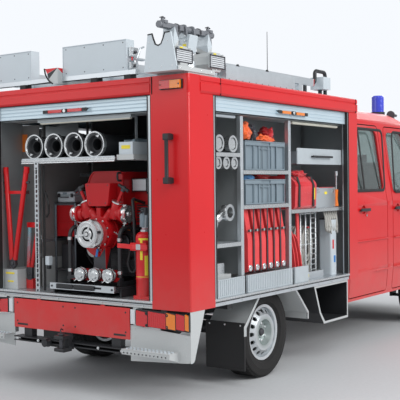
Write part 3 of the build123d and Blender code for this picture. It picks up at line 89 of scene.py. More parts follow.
class Shade:
    # a material with one Principled shader
    def __init__(self, name, color, rough=0.5, metal=0.0, **more):
        self.material = bpy.data.materials.new(name)
        self.material.use_nodes = True
        self.tree = self.material.node_tree
        self.main = self.tree.nodes["Principled BSDF"]
        self.set("Base Color", (*color, 1))
        self.set("Roughness", rough)
        self.set("Metallic", metal)
        for key, value in more.items():
            self.set(key.replace("_", " "), value)
        self.material.diffuse_color = (*color, 1)

    def fill(self, socket, value):
        if isinstance(value, Wire):
            self.tree.links.new(value.socket, socket)
        else:
            socket.default_value = value

    def set(self, name, value):
        self.fill(self.main.inputs[name], value)

    def node(self, kind, sockets, output=0, **settings):
        made = self.tree.nodes.new(kind)
        for key, value in settings.items():
            setattr(made, key, value)
        for key, value in sockets.items():
            self.fill(made.inputs[key], value)
        return Wire(self, made.outputs[output])

    def where(self):
        # place on the object, in metres
        return self.node("ShaderNodeTexCoord", {}, 3)

    def along(self, axis):
        return self.node("ShaderNodeSeparateXYZ", {0: self.where()}, axis)

    def math(self, kind, *values):
        return self.node("ShaderNodeMath", dict(enumerate(values)), operation=kind)

    def wave(self, value, pitch, kind="SINE"):
        # a wave along a length, one turn for each pitch
        return self.math(kind, value * (2 * math.pi / pitch))

    def noise(self, scale, detail=2.0, rough=0.5, stretch=None):
        at = self.where()
        if stretch:
            at = at * self.node("ShaderNodeCombineXYZ", dict(enumerate(stretch)))
        return self.node(
            "ShaderNodeTexNoise", {"Vector": at, "Scale": scale, "Detail": detail, "Roughness": rough}
        )

    def fade(self, value, low, high, most):
        # most at low, nothing at high
        ends = {"Value": value, "From Min": low, "From Max": high, "To Min": most, "To Max": 0.0}
        return self.node("ShaderNodeMapRange", ends, clamp=True)

    def mix(self, factor, a, b):
        a, b = [(*v, 1) if isinstance(v, tuple) else v for v in (a, b)]
        return self.node("ShaderNodeMix", {0: factor, 6: a, 7: b}, 2, data_type="RGBA")

    def bump(self, height, strength=0.3, distance=0.001):
        sockets = {"Strength": strength, "Distance": distance, "Height": height}
        self.set("Normal", self.node("ShaderNodeBump", sockets))
        return self


def tint(color, by, lift=0.0):
    return tuple(min(1, v * by + lift) for v in color)


def makePaint(name, color, rough=0.22, most=0.3):
    # car paint with road dust that fades out upwards
    shade = Shade(name, color, rough, Coat_Weight=0.16, Coat_Roughness=0.1, Specular_IOR_Level=0.35)
    base = shade.mix(shade.noise(1.3, 3, 0.5), tint(color, 0.86), tint(color, 1.1))
    dust = shade.fade(shade.along(2), 0.35, 1.1, most) * shade.noise(9, 6, 0.65) * 1.6
    shade.set("Base Color", shade.mix(dust, base, (0.36, 0.22, 0.19)))
    shade.set("Roughness", shade.noise(14, 4, 0.6) * 0.16 + (rough - 0.07))
    return shade.bump(shade.noise(260, 2, 0.5), 0.05, 0.0004)


def makeMetal(name, color, rough=0.35, grain=(1, 40, 40), metal=0.85, bumpBy=0.08):
    # brushed sheet: streaks run along the axis with the smallest number
    shade = Shade(name, color, rough, metal)
    streak = shade.noise(22, 5, 0.7, grain)
    cloud = shade.noise(3.5, 4, 0.55)
    shade.set("Base Color", shade.mix(streak * 0.5 + cloud * 0.5, tint(color, 0.8), tint(color, 1.12)))
    shade.set("Roughness", streak * 0.2 + cloud * 0.14 + (rough - 0.15))
    return shade.bump(streak, bumpBy, 0.0005)


def makePlastic(name, color, rough=0.5, grain=900, bumpBy=0.25):
    shade = Shade(name, color, rough)
    tone = shade.noise(6, 4, 0.6)
    shade.set("Base Color", shade.mix(tone, tint(color, 0.8), tint(color, 1.2, 0.004)))
    shade.set("Roughness", tone * 0.2 + (rough - 0.1))
    return shade.bump(shade.noise(grain, 3, 0.6), bumpBy, 0.0004)


def makeLens(name, color, deep, pitch=0.008):
    # moulded lamp plastic with fine ribs inside
    shade = Shade(name, color, 0.12, Coat_Weight=0.7, Coat_Roughness=0.03)
    rib = shade.wave(shade.along(1), pitch)
    cell = shade.wave(shade.along(2), pitch)
    shade.set("Base Color", shade.mix(rib * cell * 0.5 + 0.5, deep, color))
    return shade.bump(rib * 0.5 + cell * 0.5, 0.25, 0.001)


def makeCloth(name, color, pitch=0.003):
    shade = Shade(name, color, 0.85, Sheen_Weight=0.3)
    warp = shade.wave(shade.along(1), pitch)
    weft = shade.wave(shade.along(0) + shade.along(2), pitch)
    shade.set("Base Color", shade.mix(shade.noise(8, 4, 0.6), tint(color, 0.75), tint(color, 1.25)))
    return shade.bump(warp * weft, 0.4, 0.0006)


def makeGlass(name):
    shade = Shade(name, (0.42, 0.5, 0.49), 0.03, Transmission_Weight=0.92, IOR=1.45, Alpha=1.0)
    shade.set("Roughness", shade.noise(2.2, 5, 0.65) * 0.05 + 0.01)
    return shade


def makeSlats():
    # roller curtain: ribs follow the slats' pitch
    shade = makeMetal("shutterSlatPaint", (0.6, 0.72, 0.79), 0.33, (1, 30, 30), 0.35, 0.04)
    return shade.bump(shade.wave(shade.along(2), 0.026), 0.2, 0.0015)


def makeChecker():
    # aluminium checker plate: short raised bars in two directions
    shade = makeMetal("checkerPlate", (0.66, 0.71, 0.74), 0.34, (1, 1, 1), 0.8)
    x = shade.along(0)
    z = shade.along(2) + shade.along(1)
    step = 0.03
    a = shade.wave(x + z, step)
    b = shade.wave(x - z, step)
    return shade.bump((a > 0.72) * (b > -0.2) + (b > 0.72) * (a > -0.2), 0.6, 0.002)


def makeSlotted():
    # perforated upright: a slot every 36 mm, painted near black as painted shade in the holes
    shade = makeMetal("slottedUpright", (0.62, 0.65, 0.67), 0.38, (30, 30, 1))
    place = shade.along(2) % 0.036
    hole = (place > 0.012) * (place < 0.026)
    across = shade.along(1)
    strip = (across > 0.368) * (across < 0.384)
    # near-black slots: painted shade where the holes are
    shade.set("Base Color", shade.mix(hole * strip, (0.6, 0.63, 0.65), (0.02, 0.02, 0.022)))
    return shade


def fromHub(shade, x):
    # forward and upward distance from the wheel's centre, and the straight one
    dx = shade.along(0) - (x - middle) / 1000
    dz = shade.along(2) - axles["height"] / 1000
    return dx, dz, shade.math("SQRT", dx * dx + dz * dz)


def makeWheelTyre(name, x):
    # tread blocks and side ribs follow the wheel's own centre at x
    shade = Shade(name, (0.018, 0.018, 0.019), 0.75, Specular_IOR_Level=0.25)
    dust = shade.noise(7, 6, 0.7)
    lugCount = 64
    dx, dz, away = fromHub(shade, x)
    turn = shade.math("ARCTAN2", dx, dz)
    across = shade.math("ABSOLUTE", shade.along(1)) - axles["track"] / 1000
    groove = shade.wave(across, 0.042, "COSINE")
    zigzag = shade.math("SINE", turn * lugCount + across * 90)
    tread = (groove > -0.72) * (zigzag > -0.7)
    lugs = shade.math("SINE", turn * lugCount)
    shoulder = (away > 0.32) * (away < 0.343)
    onSide = away < 0.343
    height = tread * (1 - onSide) + onSide * (shade.wave(away, 0.012) * 0.06 + 0.5)
    height = height + shoulder * (lugs > 0) * 0.3
    worn = shade.mix(dust, (0.01, 0.01, 0.011), (0.035, 0.033, 0.032))
    # grooves between the lugs are painted near black as painted shade in the grooves; the lugs and sides take
    # the dusty worn rubber
    shade.set("Base Color", shade.mix(tread * (1 - onSide) + onSide, (0.006, 0.006, 0.006), worn))
    shade.set("Roughness", dust * 0.25 + 0.6)
    return shade.bump(height + shade.noise(420, 4, 0.7) * 0.08, 0.9, 0.006)


def makeRimLook(name, x):
    # silver wheel with a duller grey-green bowl
    shade = makeMetal(name, (0.62, 0.65, 0.67), 0.34, (1, 1, 1), 0.6, 0.05)
    bowl = shade.fade(fromHub(shade, x)[2], 0.1, 0.145, 1.0)
    lip = shade.mix(shade.noise(9, 5, 0.6), (0.56, 0.59, 0.61), (0.72, 0.75, 0.77))
    shade.set("Base Color", shade.mix(bowl * 0.75, lip, (0.36, 0.42, 0.4)))
    return shade


print("materials")
red = makePaint("redPaint", (0.68, 0.012, 0.016), 0.3)
redKit = makePaint("redPumpPaint", (0.5, 0.008, 0.012), 0.32, 0.1)
glass = makeGlass("tintedGlass")
clearLens = makeGlass("clearLampGlass")
redLens = makeLens("redLampPlastic", (0.78, 0.02, 0.025), (0.4, 0.005, 0.01))
amberLens = makeLens("amberLampPlastic", (0.95, 0.3, 0.02), (0.7, 0.14, 0.005))
blueLens = makeLens("blueBeaconPlastic", (0.06, 0.1, 0.85), (0.02, 0.03, 0.5), 0.011)
whiteLens = makeLens("whiteLampPlastic", (0.78, 0.8, 0.82), (0.6, 0.63, 0.66))
slats = makeSlats()
checker = makeChecker()
slotted = makeSlotted()
tyreRear = makeWheelTyre("tyreRubberRear", axles["rear"])
tyreFront = makeWheelTyre("tyreRubberFront", axles["front"])
rimRear = makeRimLook("wheelSilverRear", axles["rear"])
rimFront = makeRimLook("wheelSilverFront", axles["front"])

# metals and painted sheets: name, colour, roughness, grain along x, y, z, metal, bump
iron = makeMetal("castIron", (0.16, 0.16, 0.17), 0.55, (1, 1, 1), 0.6, 0.5)
alu = makeMetal("brushedAluminium", (0.66, 0.7, 0.73), 0.36, (1, 30, 30))
aluUp = makeMetal("brushedAluminiumUpright", (0.64, 0.68, 0.7), 0.38, (30, 30, 1))
wheelSilver = makeMetal("wheelSilverPaint", (0.7, 0.74, 0.78), 0.38, (1, 1, 1), 0.4, 0.05)
bodyInside = makeMetal("bodyLiningSheet", (0.42, 0.45, 0.46), 0.42, (1, 20, 20), 0.6)
whiteSheet = makeMetal("whitePaintedSheet", (0.6, 0.66, 0.7), 0.45, (1, 8, 8), 0.12, 0.05)
greySheet = makeMetal("greyPaintedSheet", (0.56, 0.58, 0.58), 0.5, (1, 6, 6), 0.2, 0.06)
paleSheet = makeMetal("paleSheet", (0.5, 0.55, 0.58), 0.42, (1, 40, 1), 0.2, 0.12)
greyCast = makeMetal("greyCastFitting", (0.2, 0.21, 0.23), 0.5, (1, 1, 1), 0.3, 0.2)
castAlu = makeMetal("castAluminium", (0.72, 0.73, 0.74), 0.36, (1, 1, 1), 0.35, 0.15)
darkSteel = makeMetal("darkSteel", (0.09, 0.09, 0.1), 0.42, (1, 10, 10), 0.7, 0.1)
chrome = makeMetal("turnedSilver", (0.74, 0.76, 0.77), 0.24, (30, 1, 1), 0.95, 0.05)
mirrorGlass = makeMetal("mirrorGlass", (0.82, 0.85, 0.87), 0.2, (1, 1, 1), 1.0, 0.0)

# plastics and rubbers: name, colour, roughness, grain, bump
blackFrame = makePlastic("blackChassisPaint", (0.022, 0.023, 0.026), 0.45, 300, 0.12)
blackPlastic = makePlastic("blackPlastic", (0.02, 0.021, 0.024), 0.42)
greyPlastic = makePlastic("greyCratePlastic", (0.2, 0.255, 0.295), 0.45, 500, 0.15)
rubber = makePlastic("blackRubber", (0.014, 0.014, 0.015), 0.62, 400, 0.3)
hoseRubber = makePlastic("suctionHoseRubber", (0.02, 0.022, 0.025), 0.5, 200, 0.3)
liningDark = makePlastic("bayLining", (0.2, 0.195, 0.19), 0.6, 200, 0.15)
trimGrey = makePlastic("cabTrim", (0.085, 0.088, 0.095), 0.6, 500, 0.2)
bluePlastic = makePlastic("blueGrip", (0.03, 0.2, 0.55), 0.4)
paleBlue = makePlastic("paleBlueGrip", (0.25, 0.55, 0.62), 0.45)
orangePlastic = makePlastic("orangeCase", (0.9, 0.2, 0.02), 0.45, 300, 0.1)
yellowLabel = makePlastic("plainYellowLabel", (0.85, 0.68, 0.04), 0.5, 100, 0.02)
cream = makePlastic("creamTube", (0.74, 0.72, 0.62), 0.4, 60, 0.02)

# cloths: name, colour, pitch of the weave in metres
seatCloth = makeCloth("seatCloth", (0.05, 0.055, 0.075), 0.006)
redCanvas = makeCloth("redHoseCanvas", (0.72, 0.035, 0.04), 0.004)
redBag = makeCloth("redBagCloth", (0.62, 0.02, 0.03), 0.005)
orangeCloth = makeCloth("orangeVestCloth", (0.95, 0.13, 0.02), 0.005)
darkCloth = makeCloth("darkJacketCloth", (0.03, 0.032, 0.045), 0.005)
blueCloth = makeCloth("blueCloth", (0.1, 0.32, 0.62), 0.004)
greyCanvas = makeCloth("greyHoseCanvas", (0.42, 0.41, 0.38), 0.005)


# colours of the CAD nodes, by where their faces lie

def pair(look, x0, x1, y0, y1, z0, z1, facing=None):
    # a rule for the right side and its mirror image for the left
    turned = {"+y": "-y", "-y": "+y"}.get(facing, facing)
    return [(look, x0, x1, y0, y1, z0, z1, facing), (look, x0, x1, -y1, -y0, z0, z1, turned)]


def paint(name, base, rows=(), rings=()):
    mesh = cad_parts[name].data
    mesh.materials.clear()
    slots = {}
    for look in [base] + [row[0] for row in (*rows, *rings)]:
        if look not in slots:
            slots[look] = len(slots)
            mesh.materials.append(look.material)
    count = len(mesh.polygons)
    centre = numpy.empty(count * 3)
    normal = numpy.empty(count * 3)
    mesh.polygons.foreach_get("center", centre)
    mesh.polygons.foreach_get("normal", normal)
    centre = centre.reshape(-1, 3) * 1000 + (middle, 0, 0)
    normal = normal.reshape(-1, 3)
    index = numpy.zeros(count, dtype=numpy.int32)
    for look, x0, x1, y0, y1, z0, z1, *facing in rows:
        inside = (centre >= (x0, y0, z0)).all(1) & (centre <= (x1, y1, z1)).all(1)
        if facing and facing[0]:
            sign, axis = facing[0]
            inside &= normal[:, "xyz".index(axis)] * (1 if sign == "+" else -1) > 0.6
        index[inside] = slots[look]
    for look, x0, x1, y, z, r0, r1 in rings:
        away = numpy.hypot(centre[:, 1] - y, centre[:, 2] - z)
        index[(centre[:, 0] > x0) & (centre[:, 0] < x1) & (away > r0) & (away < r1)] = slots[look]
    mesh.polygons.foreach_set("material_index", index)
    mesh.update()


plainNodes = {
    blackFrame: "chassis_frame front_axle rear_axle tow_hitch",
    iron: "engine_block knuckle_left knuckle_right",
    rimFront: "rim_front_left rim_front_right", rimRear: "rim_rear_left rim_rear_right",
    tyreFront: "tyre_front_left tyre_front_right", tyreRear: "tyre_rear_left tyre_rear_right",
    glass: "windscreen door_glass_front_left door_glass_front_right "
           "door_glass_rear_left door_glass_rear_right",
    clearLens: "headlamps", seatCloth: "seats", rubber: "mud_flaps", alu: "ladder", aluUp: "mast_stage_1",
    greySheet: "rear_steps mudguards", trimGrey: "dashboard", blackPlastic: "grab_handles front_bumper",
}
# node, base, rows of (look, x from, x to, y from, y to, z from, z to, facing)
nodeRows = {
    "underfloor_parts": (darkSteel, [
        (wheelSilver, 2190, 2690, 130, 330, 300, 500), (blackPlastic, 2740, 3460, -370, -70, 325, 475),
    ]),
    "body_walls": (red, [
        (bodyInside, 26, 2599, -1074, 1074, 700, 2284), (bodyInside, 2560, 2601, -1074, 1074, 700, 2284),
    ]),
    "body_roof": (red, [
        (whiteSheet, 62, 2563, -1035, 1035, 2262, 2290, "+z"),
        (liningDark, 26, 2599, -1074, 1074, 2150, 2284, "-z"),
    ]),
    "body_floor": (alu, [
        (blackFrame, 90, 2400, -995, 995, 615, 679.5), (bodyInside, 800, 1750, -1095, 1095, 731, 860),
        (greySheet, 0, 2600, -1099, 1099, 679, 731, "-x"),
    ]),
    "body_shelving": (alu, [
        (bodyInside, 850, 2590, 540, 565, 700, 2270), (bodyInside, 850, 2590, -565, -540, 700, 2270),
        (slotted, 45, 90, 350, 400, 725, 1723), (liningDark, 61, 900, -404, 544, 1770, 2262),
        *pair(paleSheet, 320, 1730, -1080, -1060, 725, 870), (blackPlastic, 65, 1005, -445, 235, 725, 795),
    ]),
    "shutter_rear": (slats, [
        (blackPlastic, -12, 3.6, -203, 246, 2076, 2114), (aluUp, 4, 51, -775, -749.5, 720, 2160),
        (aluUp, 4, 51, 749.5, 775, 720, 2160), (bodyInside, 51, 271, -748, 748, 2030, 2050),
        (whiteSheet, 69, 121, -548, 375, 2014, 2031), (cream, 75, 115, -531, 358, 1990, 2022),
    ]),
    "rear_panel": (red, [(blackFrame, 2.5, 60, -400, 400, 440, 690)]),
    "side_lockers": (greySheet, pair(blackFrame, 1815, 2425, -1084, -712, 352, 672)),
    "tail_lamps": (blackPlastic, [
        *pair(redLens, -18, -6.5, -745, -640, 545, 670), *pair(redLens, -18, -6.5, -905, -745, 545, 670),
        *pair(amberLens, -21, -6.5, -985, -905, 545, 670), *pair(redLens, -18, -6.5, -1062, -985, 545, 670),
        *pair(amberLens, -21, -6.5, -1098, -1062, 545, 670), *pair(whiteLens, -15, 0, -629, -589, 560, 670),
        *pair(amberLens, -27, -8.2, -1046, -961.5, 2189, 2246),
        *pair(redLens, -28, -8.2, -962, -875, 2189, 2246),
    ]),
    "roof_boxes": (whiteSheet, [
        (alu, 80, 2220, -545, 1055, 2340, 2371), (rubber, 80, 2220, -545, 1055, 2284, 2340),
        (checker, 555, 1590, -1041, -960, 2284, 2403), (greySheet, 89, 701, 175, 306, 2314, 2436),
        (red, 89, 701, 175, 306, 2410, 2436), (blackPlastic, 89, 701, 235, 306, 2314, 2400),
    ]),
    "mast_base": (aluUp, [
        (whiteSheet, -96, -82, -1091, -799, 2286, 2560), (greySheet, -82, 341, -1091, -799, 2284, 2332),
    ]),
    "mast_stage_2": (aluUp, [
        (whiteSheet, 130, 260, -1017, -883, 2440, 2573), (greyCast, 139, 251, -1017, -883, 2573, 2645),
    ]),
    "floodlights": (whiteSheet, [
        (greyCast, -130, 530, -1060, -840, 2576, 2700),
        *[(greySheet, x - 90, x + 114, -1056, -849, 2330, 2500) for x in mast["lamps"]],
        *[(whiteLens, x - 70, x + 102, -1056, -1054, 2362, 2445, "-y") for x in mast["lamps"]],
    ]),
    "roof_signals": (blackPlastic, [
        *pair(blueLens, 4240, 4400, -636, -484, 2297, 2475),
        *pair(darkSteel, 4275, 4435, -766, -674, 2200, 2302),
        (whiteSheet, 2405, 2576, -875, -735, 2381, 2491),
    ]),
    "pump_slide": (alu, [
        (blackPlastic, 21, 24, -301, 91, 777, 801, "-x"), (darkSteel, 31, 861, -421, 211, 760, 815),
    ]),
    "pump_engine": (blackPlastic, [
        (redKit, 271.5, 741, -309, 62, 1281, 1642), (redKit, 271.5, 379, -309, 62, 1230, 1642),
        (redKit, 177, 273, -256, -6, 1384, 1557), (redKit, 401, 741, -461, -299, 1235, 1583),
        (redKit, 401, 741, -461, -179, 1399, 1601), (blackPlastic, 385, 404, -366, -183, 1493, 1583),
        (whiteLens, 380, 391, -360, -186, 1499, 1577, "-x"), (blackPlastic, 231, 271, -292, -274, 1560, 1645),
        *[(redKit, 96, 170, y - 54, y + 54, 826, 934) for y in couplings["y"]],
        *[(chrome, 71, 118, y - 54, y + 54, 826, 934) for y in couplings["y"]],
        (redKit, 419, 721, 59, 201, 1119, 1392),
    ]),
    "pump_casing": (redKit, [
        (chrome, 40, 122, -250, -15, 1060, 1300),
        (chrome, 170, 290, 88, 140, 1250, 1400), (chrome, 170, 290, -405, -354, 1250, 1400),
        (blackPlastic, 190, 262, 20, 145, 1490, 1560), (blackPlastic, 190, 262, -410, -286, 1490, 1560),
        (darkSteel, 194, 265, -215, -51, 860, 1000),
    ]),
    "drawer": (paleSheet, [
        (blackPlastic, 1840, 2210, -1072, -1041, 1745, 1775), (alu, 1620, 2420, -1027, -600, 1690, 1830),
    ]),
    "stowed_hoses": (hoseRubber, [
        (redCanvas, 820, 1400, -1045, -699, 870, 1360), (chrome, 405, 715, -1037, -995, 1640, 1900),
    ]),
    "stowed_kit": (greyPlastic, [
        *pair(redBag, 1599, 1971, -1031, -689, 1325, 1601), *pair(alu, 2009, 2381, -1001, -719, 1325, 1502),
        *pair(redKit, 2009, 2381, -870, -850, 1502, 1556), *pair(alu, 1729, 2121, -1011, -649, 730, 792),
        *pair(whiteSheet, 2249, 2361, -1021, -899, 730, 1216),
        *pair(aluUp, 1790, 2080, -968, -952, 735, 1299),
        (chrome, 410, 703, -1011, -833, 1113, 1393), (greySheet, 349, 661, -1001, -699, 730, 881),
        (chrome, 379, 631, -961, -739, 881, 961), (greySheet, 349, 701, 659, 1001, 730, 961),
        (greySheet, 59, 301, 605, 776, 730, 885), (red, 47, 201, -701, -544, 730, 1240),
        (whiteSheet, 97, 153, -650, -590, 1225, 1330), (darkSteel, 95, 155, -652, -588, 1330, 1380),
        (red, 64, 126, 490, 766, 890, 1696), (red, 144, 191, 454, 601, 730, 1256),
        (chrome, 99, 127, 529, 766, 1479, 1506), (darkSteel, 70, 100, 638, 708, 886, 990),
        (darkSteel, 144, 176, 530, 600, 798, 890), (paleBlue, 144, 176, 535, 605, 1060, 1200),
        (orangePlastic, 299, 361, 719, 856, 1819, 1961), (redKit, 461, 871, 359, 561, 1129, 1386),
        (darkSteel, 450, 890, 342, 576, 730, 1129), (darkSteel, 450, 890, 342, 576, 1387, 1403),
        (whiteSheet, 89, 421, -546, -419, 1749, 1851), (greySheet, 79, 621, -561, -404, 1721, 1762),
    ]),
    "mirror_left": (blackPlastic, [(mirrorGlass, 4470, 4545, 1020, 1185, 1415, 1695, "-x")]),
    "mirror_right": (blackPlastic, [(mirrorGlass, 4470, 4545, -1185, -1020, 1415, 1695, "-x")]),
    "bonnet": (red, [(blackFrame, 5200, 5800, -800, 800, 900, 1500, "-z")]),
    "cab_shell": (red, [
        (trimGrey, 2735, 5400, -905, 905, 771, 2120), (trimGrey, 2735, 4700, -900, 900, 700, 771, "+z"),
        *pair(red, 2735, 5450, -1000, -760, 760, 2300, "-y"), (red, 5060, 5800, -1010, 1010, 1050, 1420),
        (red, 4650, 5450, -905, 905, 1300, 2200, "+x"), (red, 4650, 5450, -905, 905, 1250, 2200, "+z"),
        (blackFrame, 2700, 5800, -1010, 1010, 420, 722, "-z"),
    ]),
}
for k, side in enumerate(("right", "left")):
    nodeRows["shutter_" + side] = (slats, [
        *pair(blackPlastic, 1200, 1685, -1112, -1096.4, 2076, 2114),
        *pair(aluUp, 299, 325.5, -1096, -1049, 720, 2160),
        *pair(aluUp, 2424.5, 2451, -1096, -1049, 720, 2160),
        *pair(bodyInside, 320, 2430, -1049, -829, 2040, 2052),
    ])
    for door in ("front", "rear"):
        nodeRows["door_" + door + "_" + side] = (red, [
            pair(trimGrey, 2700, 5000, -995, -700, 460, 2120, "+y")[k],
            pair(blackPlastic, 2700, 5000, -1010, -975, 1255, 1305)[k],
        ])
# node, rows of (look, x from, x to, y and z of the axis, radius from, radius to)
nodeRings = {
    "stowed_hoses": [
        (chrome, 60, x1, y, suctionHoses["z"], r0, r1)
        for x1, r0, r1 in ((99, 79, 97), (75, 58, 70)) for y in suctionHoses["y"]
    ],
    "pump_casing": [(castAlu, 40, 121, pump["y"], pump["z"], 0, 106)],
}
for look, names in plainNodes.items():
    for name in names.split():
        paint(name, look)
for name, (base, rows) in nodeRows.items():
    paint(name, base, rows, nodeRings.get(name, ()))
print("CAD nodes painted")

# rounded edges, by modifier: width in mm and segments, nodes
edgeRounds = {
    (5, 2): "bonnet", (4, 2): "cab_shell mirror_left mirror_right front_bumper dashboard",
    (3, 2): "door_front_left door_front_right door_rear_left door_rear_right tow_hitch",
    (2.5, 2): "body_walls body_roof", (2, 2): "body_floor floodlights pump_engine pump_casing grab_handles",
    (1.5, 2): "rear_panel side_lockers", (1.5, 1): "stowed_kit", (1.2, 2): "roof_boxes drawer",
    (1.2, 1): "mudguards body_shelving", (1, 2): "mast_base tail_lamps", (0.8, 1): "rear_steps",
}
for (width, segments), names in edgeRounds.items():
    for name in names.split():
        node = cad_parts[name]
        node.modifiers.new("weld", "WELD").merge_threshold = 1e-5
        bevel = node.modifiers.new("edges", "BEVEL")
        bevel.width = width / 1000
        bevel.segments = segments
        bevel.limit_method = "ANGLE"
        bevel.angle_limit = math.radians(38)
        bevel.harden_normals = True
print("edges rounded")


# mesh builder for the added pieces

facings = {"+z": (0, 0, 0), "-y": (90, 0, 0), "+x": (0, 90, 0), "-x": (0, -90, 0)}
ways = {"+x": (1, 0, 0), "-x": (-1, 0, 0), "+y": (0, 1, 0), "-y": (0, -1, 0), "+z": (0, 0, 1)}


class Piece:
    # gathers faces of one piece; sizes in mm, placed by self.at
    def __init__(self, name, body, slot, look, mirrored=False):
        self.name, self.body, self.slot, self.mirrored = name, body, slot, mirrored
        self.points, self.faces, self.looks, self.marks = [], [], [], []
        self.at = Matrix.Identity(4)
        self.use(look)

    def use(self, look):
        if look not in self.looks:
            self.looks.append(look)
        self.now = self.looks.index(look)
        return self

    def put(self, x=0, y=0, z=0, rx=0, ry=0, rz=0):
        turn = Euler([math.radians(v) for v in (rx, ry, rz)]).to_matrix().to_4x4()
        self.at = Matrix.Translation((x, y, z)) @ turn
        return self

    def add(self, points, faces):
        start = len(self.points)
        self.points += [self.at @ Vector(p) for p in points]
        self.faces += [[start + i for i in face] for face in faces]
        self.marks += [self.now] * len(faces)
        return self

    def block(self, x0, x1, y0, y1, z0, z1, edge=1.5):
        # box with chamfered edges
        edge = min(edge, (x1 - x0) / 3, (y1 - y0) / 3, (z1 - z0) / 3)
        low, high = (x0, y0, z0), (x1, y1, z1)
        points, index = [], {}
        for corner in range(8):
            bits = [(corner >> k) & 1 for k in range(3)]
            for flat in range(3):
                index[corner, flat] = len(points)
                points.append([
                    (high[k] if bits[k] else low[k]) + (0 if k == flat else (-edge if bits[k] else edge))
                    for k in range(3)
                ])
        faces = []
        for axis in range(3):
            a, b = [k for k in range(3) if k != axis]
            for bit in range(2):
                ring = [bit << axis | p << a | q << b for p, q in ((0, 0), (1, 0), (1, 1), (0, 1))]
                faces.append([index[c, axis] for c in ring])
            for first in (0, 1 << a, 1 << b, 1 << a | 1 << b):
                last = first | 1 << axis
                faces.append([index[first, a], index[last, a], index[last, b], index[first, b]])
        for corner in range(8):
            faces.append([index[corner, k] for k in range(3)])
        return self.add(points, faces)

    def blocks(self, edge, *rows):
        for row in rows:
            self.block(*row, edge)
        return self

    def turned(self, rows, sides=20, start=0, sweep=360):
        # rows of (along z, radius), closed at both ends; rows that come back to their start make a ring
        ring = abs(rows[0][0] - rows[-1][0]) < 0.01 and rows[-1][1] > 1
        full = sweep == 360
        count = sides if full else sides + 1
        points = []
        for along, radius in rows:
            for k in range(count):
                a = math.radians(start + sweep * k / sides)
                points.append((max(radius, 0.01) * math.cos(a), max(radius, 0.01) * math.sin(a), along))
        faces = []
        for r in range(len(rows) - (not ring)):
            for k in range(sides):
                n, m = (k + 1) % count, (r + 1) % len(rows)
                faces.append((r * count + k, r * count + n, m * count + n, m * count + k))
        if full and not ring:
            faces.append(list(range(count))[::-1])
            faces.append([(len(rows) - 1) * count + k for k in range(count)])
        return self.add(points, faces)

    def lathe(self, x, y, z, facing, rows, sides=20):
        # a turned shape whose foot is at the point
        return self.put(x, y, z, *facings[facing]).turned(rows, sides).put()

    def sweep(self, path, section, up=(0, 0, 1), closed=False):
        # section of (side, up) carried along a path of points
        path = [Vector(p) for p in path]
        count, size = len(path), len(section)
        points = []
        for n, p in enumerate(path):
            before = path[n - 1] if n or closed else p
            after = path[(n + 1) % count] if n < count - 1 or closed else p
            ahead = (after - before).normalized()
            side = ahead.cross(Vector(up))
            side = side.normalized() if side.length > 1e-6 else Vector((1, 0, 0))
            top = side.cross(ahead)
            reach = 1.0
            if 0 < n < count - 1 or closed:
                bend = (p - before).normalized().dot((after - p).normalized())
                reach = min(1.4, 1 / math.sqrt(max(0.5, (1 + bend) / 2)))
            points += [p + side * s * reach + top * t for s, t in section]
        faces = []
        for n in range(count if closed else count - 1):
            m = (n + 1) % count
            for k in range(size):
                j = (k + 1) % size
                faces.append((n * size + k, n * size + j, m * size + j, m * size + k))
        if not closed:
            faces.append(list(range(size))[::-1])
            faces.append([(count - 1) * size + k for k in range(size)])
        return self.add(points, faces)

    def tube(self, path, radius, sides=8, closed=False):
        turns = [2 * math.pi * k / sides for k in range(sides)]
        steep = all(abs((Vector(b) - Vector(a)).normalized().z) > 0.9 for a, b in zip(path, path[1:]))
        up = (0.13, 0.99, 0) if steep else (0.02, 0.01, 1)
        return self.sweep(path, [(radius * math.cos(a), radius * math.sin(a)) for a in turns], up, closed)

    def screw(self, x, y, z, facing, size=7, hexagon=False):
        # screw or bolt head with a washer, its foot at the point and its head towards facing
        keep = self.at
        turn = Vector((0, 0, 1)).rotation_difference(Vector(ways[facing])).to_matrix().to_4x4()
        self.at = keep @ Matrix.Translation((x, y, z)) @ turn
        self.turned([(-1, size * 1.25), (0.8, size * 1.25), (1, size * 1.15), (1, 0)], 12)
        head = [(0.7, 1), (0.85, 0.8)] if hexagon else [(0.3, 0.85), (0.45, 0.4)]
        self.turned([(0.9, size)] + [(size * a, size * b) for a, b in head], 6 if hexagon else 12)
        self.at = keep
        return self

    def screws(self, facing, size, places, hexagon=False):
        for place in places:
            self.screw(*place, facing, size, hexagon)
        return self

    def done(self):
        points, faces, marks = self.points, self.faces, self.marks
        if self.mirrored:
            count = len(points)
            points = points + [Vector((p.x, -p.y, p.z)) for p in points]
            faces = faces + [[count + i for i in face][::-1] for face in faces]
            marks = marks + marks
        mesh = bpy.data.meshes.new(self.name)
        mesh.from_pydata([((p.x - middle) * 0.001, p.y * 0.001, p.z * 0.001) for p in points], [], faces)
        for look in self.looks:
            mesh.materials.append(look.material)
        mesh.polygons.foreach_set("material_index", marks)
        work = bmesh.new()
        work.from_mesh(mesh)
        bmesh.ops.recalc_face_normals(work, faces=work.faces)
        work.to_mesh(mesh)
        work.free()
        mesh.shade_smooth()
        mesh.set_sharp_from_angle(angle=math.radians(32))
        made = bpy.data.objects.new(self.name, mesh)
        bpy.context.scene.collection.objects.link(made)
        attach(made, self.body)
        return made


def rounded(corners, steps=5):
    # outline of (a, b, corner radius) as points, with arcs at its corners
    out = []
    for n, (a, b, radius) in enumerate(corners):
        p = Vector((a, b))
        back = (Vector(corners[n - 1][:2]) - p).normalized()
        on = (Vector(corners[(n + 1) % len(corners)][:2]) - p).normalized()
        half = back.angle(on) / 2
        reach = radius / math.tan(half)
        centre = p + (back + on).normalized() * (radius / math.sin(half))
        first, last = p + back * reach - centre, p + on * reach - centre
        turn = first.angle_signed(last)
        for k in range(steps + 1):
            spun = first.copy()
            spun.rotate(Matrix.Rotation(-turn * k / steps, 2))
            out.append((centre.x + spun.x, centre.y + spun.y))
    return out


